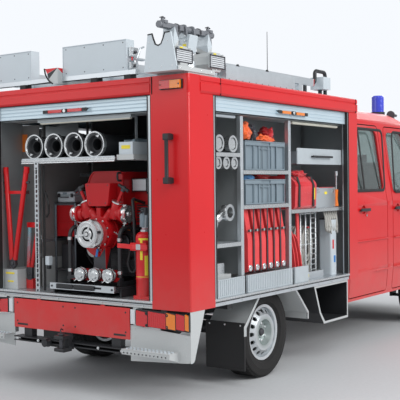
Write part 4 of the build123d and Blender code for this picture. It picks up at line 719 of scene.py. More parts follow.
def strip(wide, low, high):
    # flat section for a sweep: half its width, and how far it lies below and above the path
    return [(-wide, low), (-wide, high), (wide, high), (wide, low)]


def frameOf(y0, y1, z0, z1, wide):
    # bottom, top and two sides of an upright frame
    level = [(y0, y1, z0, z0 + wide), (y0, y1, z1 - wide, z1)]
    return level + [(y0, y0 + wide, z0, z1), (y1 - wide, y1, z0, z1)]


def onCircle(radius, count, start=0):
    turns = [math.radians(360 / count * k + start) for k in range(count)]
    return [(radius * math.cos(a), radius * math.sin(a)) for a in turns]


# cab: window rubbers, creases, locks, wipers

cab = {
    "start": 2680, "footY": 1014, "footZ": 455, "lean": 88 / 1650,
    "windscreen": [(790, 1440, 60), (700, 2120, 80), (-700, 2120, 80), (-790, 1440, 60)],
    "rubber": [(-13, -3), (-13, 2), (-9, 4.5), (9, 4.5), (13, 2), (13, -3)],
    "crease": [(-7, -2), (-3, 2.5), (3, 2.5), (7, -2)],
}
# window corners with their radius, bar between the panes, creases as (z, x from, x to), handle
doors = {
    "rear": {
        "window": [(160, 1460, 50), (160, 2050, 70), (880, 2050, 60), (880, 1460, 50)],
        "bar": [(430, 1458), (385, 1760), (340, 2052)],
        "creases": [(984, 95, 925), (686, 560, 925)], "handle": 370,
    },
    "front": {
        "window": [(1120, 1440, 50), (1120, 2045, 60), (1535, 2045, 90), (1955, 1530, 60), (1955, 1440, 40)],
        "bar": [(1640, 1438), (1640, 1700), (1640, 1925)],
        "creases": [(984, 1082, 2005), (686, 1082, 1710)], "handle": 1190,
    },
}


def onSkin(points, proud=0.0):
    # right-hand outer skin of the cab doors
    return [(cab["start"] + x, (z - cab["footZ"]) * cab["lean"] - cab["footY"] - proud, z) for x, z in points]


for side, sign in (("right", 1), ("left", -1)):
    flip = Matrix.Scale(sign, 4, (0, 1, 0))
    for door, facts in doors.items():
        name = door + "_" + side
        piece = Piece("window_rubber_" + name, "door_" + name, "black_rubber", rubber)
        piece.at = flip
        piece.sweep(onSkin(rounded(facts["window"])), cab["rubber"], (0, -1, 0), True)
        piece.sweep(onSkin(facts["bar"], -11), cab["rubber"], (0, -1, 0)).done()
        piece = Piece("door_creases_" + name, "door_" + name, "red_paint", red)
        piece.at = flip
        for z, x0, x1 in facts["creases"]:
            path = [(x0 + (x1 - x0) * n / 6, z) for n in range(7)]
            piece.sweep(onSkin(path), cab["crease"], (0, -1, 0))
        piece.done()
        piece = Piece("door_lock_" + name, "door_" + name, "steel_silver", chrome)
        piece.at = flip
        x, y, z = onSkin([(facts["handle"] + 60, 1225)])[0]
        piece.screw(x, y + 1, z, "-y", 9).use(blackPlastic)
        piece.block(x - 1.2, x + 1.2, y - 5, y - 3, z - 6, z + 6, 0.4)
        # inner pull and pocket on the trim panel
        inside = onSkin([(0, 1180)])[0][1] + 52
        piece.block(x - 260, x + 60, inside, inside + 26, 1090, 1118, 6)
        piece.block(x - 300, x + 110, inside - 4, inside + 6, 720, 1010, 5).done()
print("doors trimmed")

low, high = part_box("windscreen")
screen = {"x0": high.x * 1000 + middle, "x1": low.x * 1000 + middle, "z0": low.z * 1000, "z1": high.z * 1000}


def onScreen(y, z, proud=0.0):
    # the pane leans back from its foot
    share = (z - screen["z0"]) / (screen["z1"] - screen["z0"])
    return (screen["x0"] + (screen["x1"] - screen["x0"]) * share + proud * 0.75, y, z + proud * 0.65)


piece = Piece("windscreen_rubber", "vehicle", "black_rubber", rubber)
pane = [onScreen(y, z, 6) for y, z in rounded(cab["windscreen"])]
piece.sweep(pane, cab["rubber"], (0.75, 0, 0.65), True)
for y in (-470, 150):
    blade = [onScreen(y + 40 * k, 1500 + 170 * k, 16) for k in range(4)]
    piece.sweep(blade, [(-4, -3), (0, 4), (4, -3)], (0.75, 0, 0.65))
    piece.tube([onScreen(y - 60, 1440, 30), onScreen(y, 1560, 32), onScreen(y + 40, 1670, 24)], 6)
piece.done()

# lamps at the nose
piece = Piece("headlamp_insides", "vehicle", "steel_silver", mirrorGlass, True)
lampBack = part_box("headlamps")[0].x * 1000 + middle
for y, size in ((-790, 62), (-660, 58)):
    bowl = [(0, 10), (6, size * 0.45), (22, size * 0.8), (42, size), (44, size + 4), (42, size + 5), (-2, 12)]
    piece.use(mirrorGlass).lathe(lampBack - 46, y, 876, "+x", bowl, 28)
    piece.use(whiteLens).lathe(lampBack - 40, y, 876, "+x", [(0, 8), (22, 8), (28, 5), (30, 0)], 12)
piece.done()

# roller shutters: reflectors and locks on the lift bars, seals
liftBar = {"z": 2095, "lamp": (2083, 2107), "lock": [(0, 14), (5, 14), (7, 11), (7, 4), (5, 3)]}
piece = Piece("lift_bar_reflectors_side", "vehicle", "lamp_plastic", amberLens, True)
piece.blocks(3, *[(x, x + 136, -1108, -1102, *liftBar["lamp"]) for x in (1262, 1487)])
piece.use(blackPlastic).screws("-y", 5, [(x, -1105, liftBar["z"]) for x in (1228, 1657)])
piece.use(chrome).lathe(1442, -1106, liftBar["z"], "-y", liftBar["lock"], 18).done()

piece = Piece("lift_bar_reflectors_rear", "vehicle", "lamp_plastic", redLens)
piece.blocks(3, *[(-8, -2, y, y + 140, *liftBar["lamp"]) for y in (-148, 50)])
piece.use(chrome).lathe(-6, 21.5, liftBar["z"], "-x", liftBar["lock"], 18)
piece.use(blackPlastic).screws("-x", 5, [(-5, y, liftBar["z"]) for y in (-180, 223)]).done()

seals = {"side": ((296, 301), (325, 329), (2421, 2425), (2449, 2454)), "rear": ((-780, -775), (-750, -746))}
piece = Piece("shutter_seals", "vehicle", "black_rubber", rubber, True)
piece.blocks(1, *[(x0, x1, -1101.2, -1060, 735, 2158) for x0, x1 in seals["side"]])
piece.blocks(1, *[(-1.2, 40, y0, y1, 735, 2158) for y0, y1 in seals["rear"]])
piece.blocks(1, (301, 2449, -1101.2, -1085, 2156, 2160), (-1.2, 20, -775, 0, 2156, 2160)).done()

# red rails and sills: dark joints, edges and screws
piece = Piece("rail_joints", "vehicle", "black_rubber", rubber, True)
piece.blocks(1, *[(x, x + 4, -1106.5, -1099, 2162, 2283) for x in (388, 2590)])
piece.block(-6.5, 1, -794, -790, 2162, 2283, 1).done()

piece = Piece("sill_edge", "vehicle", "aluminium", chrome, True)
piece.blocks(3, (-4, 12, -774, 0, 716, 732), (302, 2448, -1104, -1092, 716, 732))
piece.use(rubber).blocks(1, (-2, 6, -774, 0, 707, 714), (302, 2448, -1102, -1092, 707, 714)).use(chrome)
piece.screws("-y", 4, [(420 + 240 * k, -1101, 694) for k in range(9)])
piece.screws("-x", 4, [(-0.5, -120 - 190 * k, 694) for k in range(4)]).done()

piece = Piece("rear_panel_screws", "vehicle", "chassis_black", blackPlastic, True)
piece.screws("-x", 6, [(-7.5, y, z) for y in (-540, -60) for z in (500, 640)])
piece.block(-10, -7, 430, 540, 470, 484, 1).done()

# tail lamps: screws, black rims and ribs
piece = Piece("tail_lamp_screws", "vehicle", "black_plastic", blackPlastic, True)
for y in (-735, -912):
    for z in (566, 648):
        piece.lathe(-14, y, z, "-x", [(0, 11), (7, 11), (9, 8), (9, 5), (4, 4)], 14)
piece.blocks(0.6, *[(-20.8, -6, y - 1.5, y + 1.5, 553, 664) for y in (-745, -905, -985, -1062)])
piece.block(-22, -4, -1100, -1096, 548, 662, 1).screws("-x", 5, [(-26, y, 2217) for y in (-1036, -884)])
piece.use(redLens).blocks(1, *[(-19, -15.5, 17 * k - 898, 17 * k - 893, 556, 660) for k in range(9)]).done()

# steps: rolled edge, rivets and rows of raised grip holes
steps = {"count": 12, "first": -971, "pitch": 33, "rim": [(0, 9.5), (3.5, 8.5), (4, 6.5), (0.5, 5.8)]}
piece = Piece("step_details", "vehicle", "aluminium", chrome, True)
for k in range(steps["count"]):
    y = steps["first"] + steps["pitch"] * k
    piece.use(chrome).sweep([(-96, y - 8, 403), (-20, y - 8, 403)], strip(1.5, -1, 2))
    piece.lathe(-112, y + 2, 380, "-x", [(0, 8), (2, 7.5), (3, 6), (0.5, 5.4)], 12)
    # a black middle inside a silver rim is painted shade in each grip hole; every other row shifted by half a
    # step
    for row in range(4):
        place = (20 * row - 88, y - 9 + (16 if row % 2 else 0))
        piece.use(whiteSheet).lathe(*place, 402.5, "+z", steps["rim"], 12)
        piece.use(blackPlastic).lathe(*place, 402.6, "+z", [(0, 5.8), (0.6, 5.6), (0.6, 0)], 10)
    # a black disc in the eyelet's hole: painted shade
    piece.lathe(-112.4, y + 2, 380, "-x", [(0, 5.4), (0.6, 5.2), (0.6, 0)], 10)
piece.use(greySheet).block(-113, -106, -999, -583, 398, 405, 2)
rivets = ((-1060, 500), (-1060, 380), (-620, 530), (-620, 470), (-840, 540))
piece.screws("-x", 5, [(-0.5, y, z) for y, z in rivets]).done()

piece = Piece("mudguard_edges", "vehicle", "aluminium", chrome, True)
for path in ([(994, 676), (795, 464), (795, 402)], [(1566, 676), (1765, 464), (1765, 412)]):
    piece.sweep([(x, -1041, z) for x, z in path], strip(4, -8, 2), (0, -1, 0))
rivets = ((960, 640), (880, 556), (1600, 640), (1690, 550))
piece.screws("-y", 5, [(x, -1036, z) for x, z in rivets]).done()

piece = Piece("mud_flap_fixings", "vehicle", "steel_silver", chrome, True)
piece.screws("-x", 6, [(779, y, 480) for y in (-1000, -862, -724)], True)
piece.use(rubber).blocks(2, *[(778, 792, y, y + 6, 141, 499) for y in (-1036, -693)]).done()

piece = Piece("tow_hitch_fittings", "vehicle", "steel_silver", darkSteel)
piece.lathe(-95, 0, 300, "+z", [(30, 15), (150, 15), (150, 26), (158, 26), (160, 20)], 18)
piece.tube([(-95, 0, 458), (-80, 20, 478), (-50, 40, 482), (-30, 44, 470)], 5).use(blackPlastic)
piece.lathe(-34, 190, 366, "-x", [(0, 34), (12, 34), (20, 30), (44, 30), (46, 24)], 22)
piece.block(-86, -34, 168, 212, 388, 398, 3).use(chrome)
piece.screws("-x", 9, [(-31, y, 368) for y in (-520, -300, 300, 520)], True)
piece.screws("-x", 7, [(-29.5, y, z) for z in (335, 430) for y in (-30, 30)], True).done()
print("rear fittings")

# roof: boxes, ladder caps, cover
piece = Piece("roof_box_fixings", "vehicle", "steel_silver", darkSteel)
for y0, y1, top in ((-448, 171, 2595), (512, 1040, 2600)):
    places = [(150.5, y0 + 30 + (y1 - y0 - 60) * k / 3, z) for k in range(4) for z in (top - 22, 2392)]
    piece.use(darkSteel).screws("-x", 4, places).use(whiteSheet)
    piece.blocks(1, (146, 150.4, y0, y1, top - 5, top + 1), (146, 150.4, y0, y1, 2371, 2377))
    piece.blocks(1, *[(146, 240, y, y + 4, 2371, top + 1) for y in (y0 - 3, y1 - 1)]).use(rubber)
    piece.blocks(4, *[(152, 232, y - 34, y + 34, 2352, 2371) for y in (y0 + 60, (y0 + y1) / 2, y1 - 60)])
# latches and brackets at the right box's end, with a small red tag
for z0, z1 in ((2380, 2432), (2470, 2540)):
    piece.use(chrome).block(168, 262, -474, -452, z0, z1, 4).use(darkSteel)
    piece.lathe(220, -476, (z0 + z1) / 2, "-y", [(0, 12), (8, 12), (12, 8), (14, 8), (16, 4)], 12)
piece.use(alu).block(200, 300, -505, -470, 2446, 2462, 3)
piece.tube([(215, -490, 2372), (215, -498, 2450), (240, -505, 2530), (290, -500, 2548)], 7)
piece.use(redLens).block(174, 186, -484, -474, 2440, 2468, 2).use(rubber)
bead = [(307, 2438), (300, 2400), (284, 2370), (262, 2343), (224, 2318)]
piece.sweep([(88, y, z) for y, z in bead], [(-3, -3), (-3, 5), (6, 5), (6, -3)], (-1, 0, 0)).done()

# y from, y to, rear end, front end, foot of each ladder
ladders = ((-952, -580, 600, 2080, 2373), (-420, 140, 240, 2420, 2371), (560, 1000, 240, 2420, 2371))
piece = Piece("ladder_caps", "vehicle", "lamp_plastic", redLens)
for y0, y1, x0, x1, z in ladders:
    for y in (y0, y1 - 26):
        piece.use(redLens).block(x1 - 2, x1 + 14, y - 1, y + 27, z - 1, z + 61, 4)
        piece.use(rubber).block(x0 - 10, x0 + 2, y - 1, y + 27, z - 1, z + 61, 4)
piece.done()

piece = Piece("checker_cover_bolts", "vehicle", "steel_silver", darkSteel)
piece.screws("+z", 6, [(640 + 170 * k, -1000, 2401.5) for k in range(6)], True)
piece.screws("-y", 4, [(600 + 94 * k, -1039.5, 2300) for k in range(11)]).use(blackPlastic)
for x in (780, 1210):
    piece.lathe(x, -1000, 2403, "+z", [(0, 15), (8, 15), (14, 10), (22, 10), (24, 6)], 14)
piece.done()

# light mast: clamps, hoses, glass frames, trim of the guard plate
x, y = mast["x"], mast["y"]
piece = Piece("mast_head_fittings", "mast_stage_2", "steel_silver", chrome)
for facing, reach in (("-x", -56), ("+x", 56)):
    piece.screws(facing, 5, [(x + reach, y + dy, z) for z in (2530, 2562) for dy in (-30, 30)], True)
piece.use(yellowLabel).block(x - 52, x - 49.5, y - 34, y - 4, 2478, 2506, 0.6)
piece.use(greySheet).block(x - 54, x - 48, y - 40, y + 40, 2455, 2466, 2).done()

low, high = 2335, 2470
piece = Piece("floodlight_fittings", "floodlights", "steel_silver", darkSteel)
for x in mast["lamps"]:
    # frame round the glass, its bars and clips
    piece.use(darkSteel)
    for x0, x1, z0, z1 in frameOf(x - 82, x + 114, low + 20, high - 20, 10):
        piece.block(x0, x1, y - 109, y - 104, z0, z1, 2)
    for k in range(5):
        piece.tube([(x + dx, y - 107, low + 40 + 14 * k) for dx in (-72, 104)], 1.6, 6)
    piece.use(chrome)
    piece.blocks(2, *[(x + dx, x + dx + 12, y - 112, y - 92, high - 24, high - 10) for dx in (-56, 74)])
    piece.screws("-y", 4, [(x + 16, y - 96, low + dz) for dz in (10, 85)])
    piece.use(yellowLabel).block(x - 20, x + 14, y - 98, y - 94.5, high - 16, high - 6, 1)
piece.use(darkSteel)
for x in (mast["x"] - 273, mast["x"] + 267):
    piece.lathe(x, y, 2650, "+z", [(0, 9), (16, 9), (18, 6)], 12)
    piece.sweep([(x - 26, y, 2658), (x, y, 2664), (x + 26, y, 2658)], strip(6, -4, 3))
for x in (mast["x"] - 120, mast["x"] + 140):
    piece.lathe(x, y, mast["axis"], "+x", [(-9, 27), (-9, 30), (9, 30), (9, 27)], 18)
piece.use(rubber)
piece.tube([(180, -915, 2592), (150, -905, 2560), (110, -905, 2500), (80, -915, 2470), (56, -925, 2470)], 6)
piece.tube([(215, -915, 2592), (262, -905, 2556), (330, -905, 2500), (372, -915, 2472), (392, -925, 2472)], 6)
piece.done()

guard = {
    "notch": [
        (-835, 2553), (-872, 2556), (-884, 2520), (-900, 2484), (-925, 2474), (-948, 2484), (-966, 2520),
        (-980, 2556), (-1020, 2556),
    ],
    "screws": ((-1040, 2330), (-950, 2330), (-850, 2330), (-1000, 2500), (-850, 2500)),
    "hose": [
        (-60, -930, 2306), (-50, -900, 2380), (-20, -895, 2440), (30, -905, 2450), (60, -930, 2380),
        (120, -925, 2330),
    ],
}
piece = Piece("mast_guard_trim", "vehicle", "black_rubber", rubber)
piece.sweep([(-93, y, z) for y, z in guard["notch"]], strip(4, -4, 4), (-1, 0, 0)).use(chrome)
piece.screws("-x", 4, [(-94.5, y, z) for y, z in guard["screws"]])
piece.screws("-y", 4, [(x, -1089.5, 2316) for x in (-60, 60, 180, 300)])
piece.use(rubber).tube(guard["hose"], 7)
piece.use(greySheet).block(-30, 60, -1060, -1010, 2305, 2360, 6).done()
print("roof and mast")

# wheels: nuts, hub caps, valves
for end in ("front", "rear"):
    for side, sign in (("right", 1), ("left", -1)):
        name = end + "_" + side
        piece = Piece("wheel_nuts_" + name, "wheel_" + name, "steel_silver", chrome)
        place = Matrix.Translation((axles[end], -axles["track"], axles["height"]))
        hub = Matrix.Scale(sign, 4, (0, 1, 0)) @ place
        hub = hub @ Matrix.Rotation(math.radians(90), 4, "X")
        for x, y in onCircle(67, 6, 30):
            piece.at = hub @ Matrix.Translation((x, y, 56))
            piece.turned([(0, 15), (3, 15), (4, 12)], 12).turned([(3.5, 11.5), (17, 11.5), (20, 8)], 6)
        piece.at = hub
        piece.use(darkSteel).turned([(60, 29), (78, 29), (84, 24), (86, 12), (86, 0)], 22)
        piece.at = hub @ Matrix.Translation((*onCircle(178, 1, 100)[0], 50))
        piece.use(rubber).turned([(0, 7), (8, 6), (12, 4), (34, 4), (35, 3)], 10)
        # painted shade: a black disc far inside stands in for the shade seen through the sixteen holes
        piece.at = hub
        piece.use(blackFrame).turned([(10, 40), (10, 190), (13, 190), (13, 40)], 32).done()
print("wheels")


# pump

def chain(piece, points, link=13, wire=1.6):
    # oval links laid along straight runs between the points, each turned against the last
    half, wide = link / 2, link * 0.3
    end = [(half * 0.6, wide), (half, wide * 0.5), (half, -wide * 0.5), (half * 0.6, -wide)]
    oval = [(x, y, 0) for x, y in end] + [(-x, -y, 0) for x, y in end]
    points = [Vector(p) for p in points]
    count = 0
    for a, b in zip(points, points[1:]):
        run = b - a
        steps = max(1, int(run.length / (link * 0.72)))
        turn = Vector((1, 0, 0)).rotation_difference(run).to_matrix().to_4x4()
        for k in range(steps):
            twist = Matrix.Rotation(math.radians(90 * (count % 2)), 4, "X")
            piece.at = Matrix.Translation(a + run * (k + 0.5) / steps) @ turn @ twist
            piece.sweep(oval, strip(wire, -wire, wire), (0, 0, 1), True)
            count += 1
    piece.put()


y, z = pump["y"], pump["z"]
piece = Piece("pump_details", "pump", "steel_silver", chrome)
piece.screws("-x", 7, [(172.5, y + a, z + b) for a, b in onCircle(104, 10, 12)], True)
piece.screws("+x", 6, [(286.5, y + a, z + b) for a, b in onCircle(112, 12)], True)
# rings, ribs, knob and catches of the suction cap
for radius, x in ((92, 47), (62, 56), (30, 47)):
    piece.lathe(x, y, z, "-x", [(0, radius), (2.5, radius), (3, radius - 3), (0, radius - 4)], 36)
piece.use(castAlu)
piece.lathe(58, y, z, "-x", [(-6, 88), (2, 86), (4, 60), (0, 54), (0, 32), (8, 28), (10, 20), (10, 0)], 40)
for k in range(3):
    piece.put(58, y, z, 120 * k + 20).block(-12, 0, -7, 7, 20, 74, 3)
piece.lathe(48, y, z, "-x", [(-2, 14), (6, 14), (9, 10), (9, 3)], 16).use(darkSteel)
for k in range(3):
    piece.put(62, y, z, 120 * k + 50).block(-8, 30, 92, 106, -9, 9, 3)
outlet = {"x": 224, "reach": 268, "z": 1325, "necks": (-3, -11, -19)}
for side in (-1, 1):
    x, y, z = outlet["x"], pump["y"] + side * outlet["reach"], outlet["z"]
    piece.use(chrome)
    for shift in outlet["necks"]:
        piece.lathe(x, y + side * shift, z, "-y", [(-1.5, 61), (-1.5, 63.5), (1.5, 63.5), (1.5, 61)], 28)
    piece.put(x, y + side * 2, z, -90 * side).turned([(-6, 22), (4, 22), (7, 16), (7, 5), (2, 3)], 18)
    piece.put(x, y - side * 45, z).blocks(3, (-9, 9, -16, 16, -72, -58), (-9, 9, -16, 16, 58, 72))
    drop = ((206, 30, 1262), (196, 48, 1206), (190, 84, 1178), (186, 118, 1196))
    chain(piece, [(a, y - side * b, c) for a, b, c in drop])
    # knurled hub of the T-handle and the neck of its valve
    piece.use(darkSteel).put(x, pump["y"] + side * 216, 1518, -side * 28)
    piece.turned([(-26, 13), (-26, 17), (-4, 17), (-2, 15), (14, 15), (16, 11)], 16)
    piece.use(chrome).put(x, pump["y"] + side * 158, 1416, -side * 24)
    piece.turned([(-8, 43), (-8, 46), (2, 46), (4, 30), (10, 16)], 22)
piece.use(bluePlastic).put(150, pump["y"] - 14, 1052, 12).block(-6, 6, -9, 9, -46, 16, 3)
piece.use(chrome).lathe(164, pump["y"] - 12, 1058, "+x", [(-6, 12), (26, 12), (30, 9)], 12).use(greySheet)
piece.lathe(300, 20, 1050, "-x", [(0, 62), (8, 62), (10, 56), (10, 20), (16, 16), (16, 4)], 30).done()

piece = Piece("pump_engine_details", "pump", "black_plastic", darkSteel)
corners = [(side * share, z) for side in (-107, 107) for share, z in ((0.72, 1408), (0.92, 1540))]
piece.screws("-x", 4, [(177.5, pump["y"] + reach, z) for reach, z in corners])
# cowl: edge bead and vents
bead = [(-300, 1420), (-302, 1560), (-298, 1632), (-276, 1642), (-20, 1642), (14, 1612), (56, 1520)]
piece.use(redKit).sweep([(270, y, z) for y, z in bead], strip(4, -3, 4), (-1, 0, 0)).use(blackPlastic)
piece.blocks(2, *[(399, 403, -440, -330, z, z + 10) for z in range(1262, 1392, 20)])
piece.screws("-x", 6, [(401.5, -430, z) for z in (1250, 1384, 1480)])
piece.use(yellowLabel).block(400.2, 401.6, -350, -318, 1410, 1424, 0.4)
# lamp box beside the cowl: pale housing, lens with a black rim
piece.use(paleSheet).block(366, 402, -458, -312, 1490, 1590, 6).use(blackPlastic)
piece.blocks(1.5, *[(361, 367, *side) for side in frameOf(-456, -314, 1490, 1590, 8)])
piece.use(whiteLens).block(362, 366.5, -448, -322, 1498, 1582, 2).use(blackPlastic)
piece.blocks(2, *[(380, 392, *side) for side in frameOf(-366, -180, 1492, 1584, 8)])
piece.use(whiteLens).block(383, 387, -358, -188, 1500, 1576, 2)
piece.use(chrome).tube([(384, -350, 1538), (378, -300, 1540), (378, -240, 1540), (384, -196, 1538)], 2)
# engine side: exhaust, starter, air filter, fins, hoses
exhaust = [(430, 92, 1180), (430, 126, 1190), (470, 150, 1200), (600, 152, 1200), (640, 140, 1170)]
piece.use(darkSteel).tube(exhaust, 18, 12)
piece.lathe(420, -60, 1320, "-x", [(0, 70), (24, 74), (34, 66), (34, 30), (44, 26)], 26)
piece.lathe(376, -230, 1110, "-x", [(0, 52), (16, 52), (22, 44), (22, 16), (30, 12)], 22)
piece.lathe(376, 10, 990, "-x", [(0, 70), (12, 70), (14, 58), (6, 54), (6, 24), (20, 20)], 28)
piece.blocks(1.5, *[(372, 380, -316, 86, z, z + 6) for z in range(868, 1218, 50)])
# radius and route of each short hose
shortHoses = {
    11: [(396, -20, 1140), (330, 40, 1150), (296, 70, 1110), (300, 80, 1000), (340, 60, 930), (396, 30, 900)],
    9: [(398, -250, 1230), (330, -318, 1260), (300, -352, 1240), (290, -366, 1130), (300, -330, 1030),
        (380, -280, 980)],
    8: [(300, -120, 1395), (290, -70, 1412), (292, -10, 1398), (300, 40, 1330), (330, 96, 1290),
        (420, 110, 1262)],
}
piece.use(rubber)
for radius, path in shortHoses.items():
    piece.tube(path, radius)
piece.use(orangePlastic).tube([(398, -100, 1210), (356, -150, 1222), (330, -220, 1214), (396, -290, 1196)], 4)
# clamps on the tube frame, and the spare couplings' claws and chains
piece.use(chrome)
for y in (-365, 125):
    for z in (900, 1140):
        piece.lathe(150, y, z, "+z", [(-12, 17), (-12, 20), (12, 20), (12, 17)], 16)
for y in couplings["y"]:
    for radius, x in ((50, 92), (44, 112), (24, 70)):
        rows = [(-3, radius), (-2, radius + 2.5), (2, radius + 2.5), (3, radius)]
        piece.lathe(x, y, couplings["z"], "-x", rows, 26)
    for turn in (40, 220):
        piece.put(76, y, couplings["z"], turn).block(-8, 14, 40, 55, -9, 9, 3)
    chain(piece, [(66, y + 20, 850), (60, y + 32, 832), (66, y + 46, 826), (80, y + 58, 838)], 11, 1.4)
# grips in the slide's front: two black bars with rounded ends
piece.use(blackPlastic)
for y0, y1 in ((-236, -34), (-26, 140)):
    piece.block(0, 14, y0, y1, 772, 808, 6).block(-4, 6, y0 + 14, y1 - 14, 780, 800, 4)
piece.use(darkSteel).screws("-x", 7, [(12, y, 788) for y in (-400, 190)], True).done()
print("pump details")

# rear bay: kit and fittings
piece = Piece("rear_bay_details", "vehicle", "aluminium", yellowLabel)
labels = ((58, 60.4, 640, 735, 848, 862), (58, 60.4, 650, 715, 785, 797), (88, 90.4, -522, -442, 1800, 1826))
piece.blocks(0.5, *labels).use(greyPlastic)
piece.tube([(120, -530, 1858), (260, -470, 1872), (430, -440, 1868)], 10)
piece.tube([(140, -430, 1860), (300, -500, 1864), (420, -520, 1876)], 8)
piece.block(180, 330, -520, -450, 1850, 1866, 5).use(chrome)
# rail along the hose shelf's edge, bolts of the post, a black strip and cord beside it
piece.tube([(62, 544, 1716), (62, -400, 1716)], 5).block(58, 64, -404, 544, 1724, 1744, 2)
piece.screws("-x", 4, [(57.5, y, 1734) for y in (498, 300, 100, -90, -290)])
piece.screws("-x", 5, [(50, 390, z) for z in (820, 1100, 1400, 1660)], True).use(rubber)
piece.block(90, 100, 330, 352, 735, 1700, 3)
piece.tube([(96, 335, 1500), (80, 300, 1470), (78, 276, 1400), (92, 290, 1330), (100, 320, 1300)], 8)
piece.use(whiteSheet).block(86, 130, 290, 330, 930, 1000, 4)
piece.use(blackPlastic).block(92, 124, 296, 324, 900, 931, 4)
# pale handle over the pump, clips and tool ends
piece.use(cream).tube([(880, 250, 1640), (860, 180, 1560)], 14, 10)
piece.use(darkSteel).blocks(4, *[(78, 96, y - 26, y + 26, 1560, 1580) for y in (745, 512)])
piece.lathe(85, 672, 930, "-x", [(10, 16), (20, 16), (24, 10)], 16)
piece.lathe(160, 566, 850, "-x", [(10, 12), (18, 12), (22, 8)], 16).use(red)
for y0, y1 in ((745, 743), (512, 515)):
    piece.tube([(85, y0, 1692), (85, y1, 1640)], 22, 14)
piece.done()

# bare boards: cross boards behind the rear columns, long boards beside the pump
piece = Piece("bay_boards", "vehicle", "aluminium", liningDark, True)
piece.blocks(1, (303, 308, -1044, -590, 731, 2030), (309, 899, -581, -577, 960, 1739))
piece.use(greySheet).block(309, 899, -581, -577, 731, 959, 1)
piece.use(bodyInside).block(765, 768, -1014, -582, 862, 2200, 1).use(chrome)
for z in (760, 1000, 1240, 1480, 1720):
    piece.screws("-x", 5, [(302.5, y, z) for y in (-620, -1020)])
    piece.screws("+y", 5, [(x, -576.5, z) for x in (340, 600, 870)])
piece.done()

# white case with a lid seam, catches and a black grip over the red set beside the pump
piece = Piece("lidded_case", "vehicle", "kit_grey", whiteSheet)
piece.blocks(8, (470, 860, 372, 556, 1404, 1462), (467, 863, 369, 559, 1464, 1492)).use(blackPlastic)
piece.sweep([(468, 430, 1448), (452, 436, 1448), (452, 500, 1448), (468, 506, 1448)], strip(4, -4, 4))
piece.blocks(2, *[(461, 470, y - 12, y + 12, 1446, 1478) for y in (392, 532)])
piece.use(greyPlastic).block(463.5, 467, 446, 490, 1470, 1486, 1).done()

# extinguisher: plain labels as (z from, z to, first angle, angle), neck, lever, hose, strap
labels = ((1010, 1150, 186, 16), (900, 1040, 214, 20), (1150, 1164, 176, 60), (888, 892, 150, 120))
piece = Piece("extinguisher_details", "vehicle", "steel_silver", yellowLabel).put(125, -620)
for z0, z1, start, wide in labels:
    piece.turned([(z0, 67), (z0, 68.4), (z1, 68.4), (z1, 67)], 10, start, wide)
piece.use(chrome).turned([(1208, 27), (1208, 34), (1222, 34), (1226, 25)], 20)
piece.turned([(1300, 16), (1334, 16), (1340, 24), (1352, 24), (1356, 14)], 16).put()
piece.block(96, 160, -640, -600, 1246, 1300, 6).use(darkSteel)
piece.sweep([(60, -625, 1338), (100, -620, 1352), (150, -616, 1350), (196, -612, 1330)], strip(9, -3, 3))
piece.sweep([(66, -625, 1366), (110, -620, 1372), (150, -616, 1366)], strip(8, -2, 3)).use(rubber)
hose = [(160, -620, 1262), (196, -600, 1250), (206, -580, 1180), (200, -570, 1000), (190, -572, 860)]
piece.tube([*hose, (180, -580, 820)], 9).use(redCanvas).block(44, 48, -700, -560, 1086, 1118, 1)
piece.sweep([(50, -550, 1102), (20, -520, 1108), (-4, -470, 1112)], strip(16, -1, 1.5), (0, 1, 0.1))
piece.use(chrome).block(42, 45.5, -640, -600, 1082, 1122, 2).done()

# side bays: crate rims, hose couplings, rack, boxes, labels
# crates as (z from, z to), lips as (x from, x to, z), red lines as (x, step outwards, top)
sideBay = {
    "crates": ((1641, 1861), (1381, 1570)), "ribs": (812, 934, 1060, 1144, 1270, 1392),
    "lips": ((310, 727, 1740), (310, 727, 1087), (769, 1449, 1614), (769, 1449, 1354), (1491, 2440, 1299)),
    "redLines": ((1512, 0, 1180), (1540, 14, 1150), (1572, 26, 1120)), "rollPitch": 101,
}
piece = Piece("side_bay_details", "vehicle", "aluminium", greyPlastic, True)
for z0, z1 in sideBay["crates"]:
    piece.blocks(3, (805, 1411, -1044, -1036, z1 - 7, z1 + 2), (1034, 1182, -1041, -1034, z1 - 62, z1 - 54))
    piece.block(812, 1404, -1041, -1035, z0 + 2, z0 + 12, 3)
    piece.block(805, 1411, -1043, -1036, z1 - 34, z1 - 28, 2)
    piece.blocks(2, *[(x, x + 7, -1042, -1035, z0 + 4, z1 - 34) for x in sideBay["ribs"]])
# flat hoses: a coupling at the foot of each roll, a strap round it, dividers between the rolls
for k in range(6):
    x = 859 + sideBay["rollPitch"] * k
    piece.use(chrome).lathe(x, -1046, 905, "-y", [(-4, 24), (2, 25), (5, 21), (5, 12), (0, 10)])
    piece.use(rubber).block(x - 30, x + 30, -1049, -1043, 1180, 1196, 2)
    piece.use(chrome).block(x - 8, x + 8, -1051, -1046, 1178, 1198, 2)
dividers = [902 + sideBay["rollPitch"] * k for k in range(5)]
piece.use(darkSteel).blocks(2, *[(x, x + 15, -1050, -1044, 868, 1353) for x in dividers])
piece.use(chrome).blocks(2, *[(x0, x1, -1054, -1049, z - 4, z + 26) for x0, x1, z in sideBay["lips"]])
piece.screws("-y", 4, [(x, -1048.5, 900 + 150 * k) for x in (748, 1470) for k in range(8)])
# pale bars under the roof
piece.use(cream).block(1560, 2380, -1030, -1000, 2020, 2042, 6)
piece.use(whiteSheet).block(350, 700, -1030, -1000, 2020, 2042, 6).use(rubber)
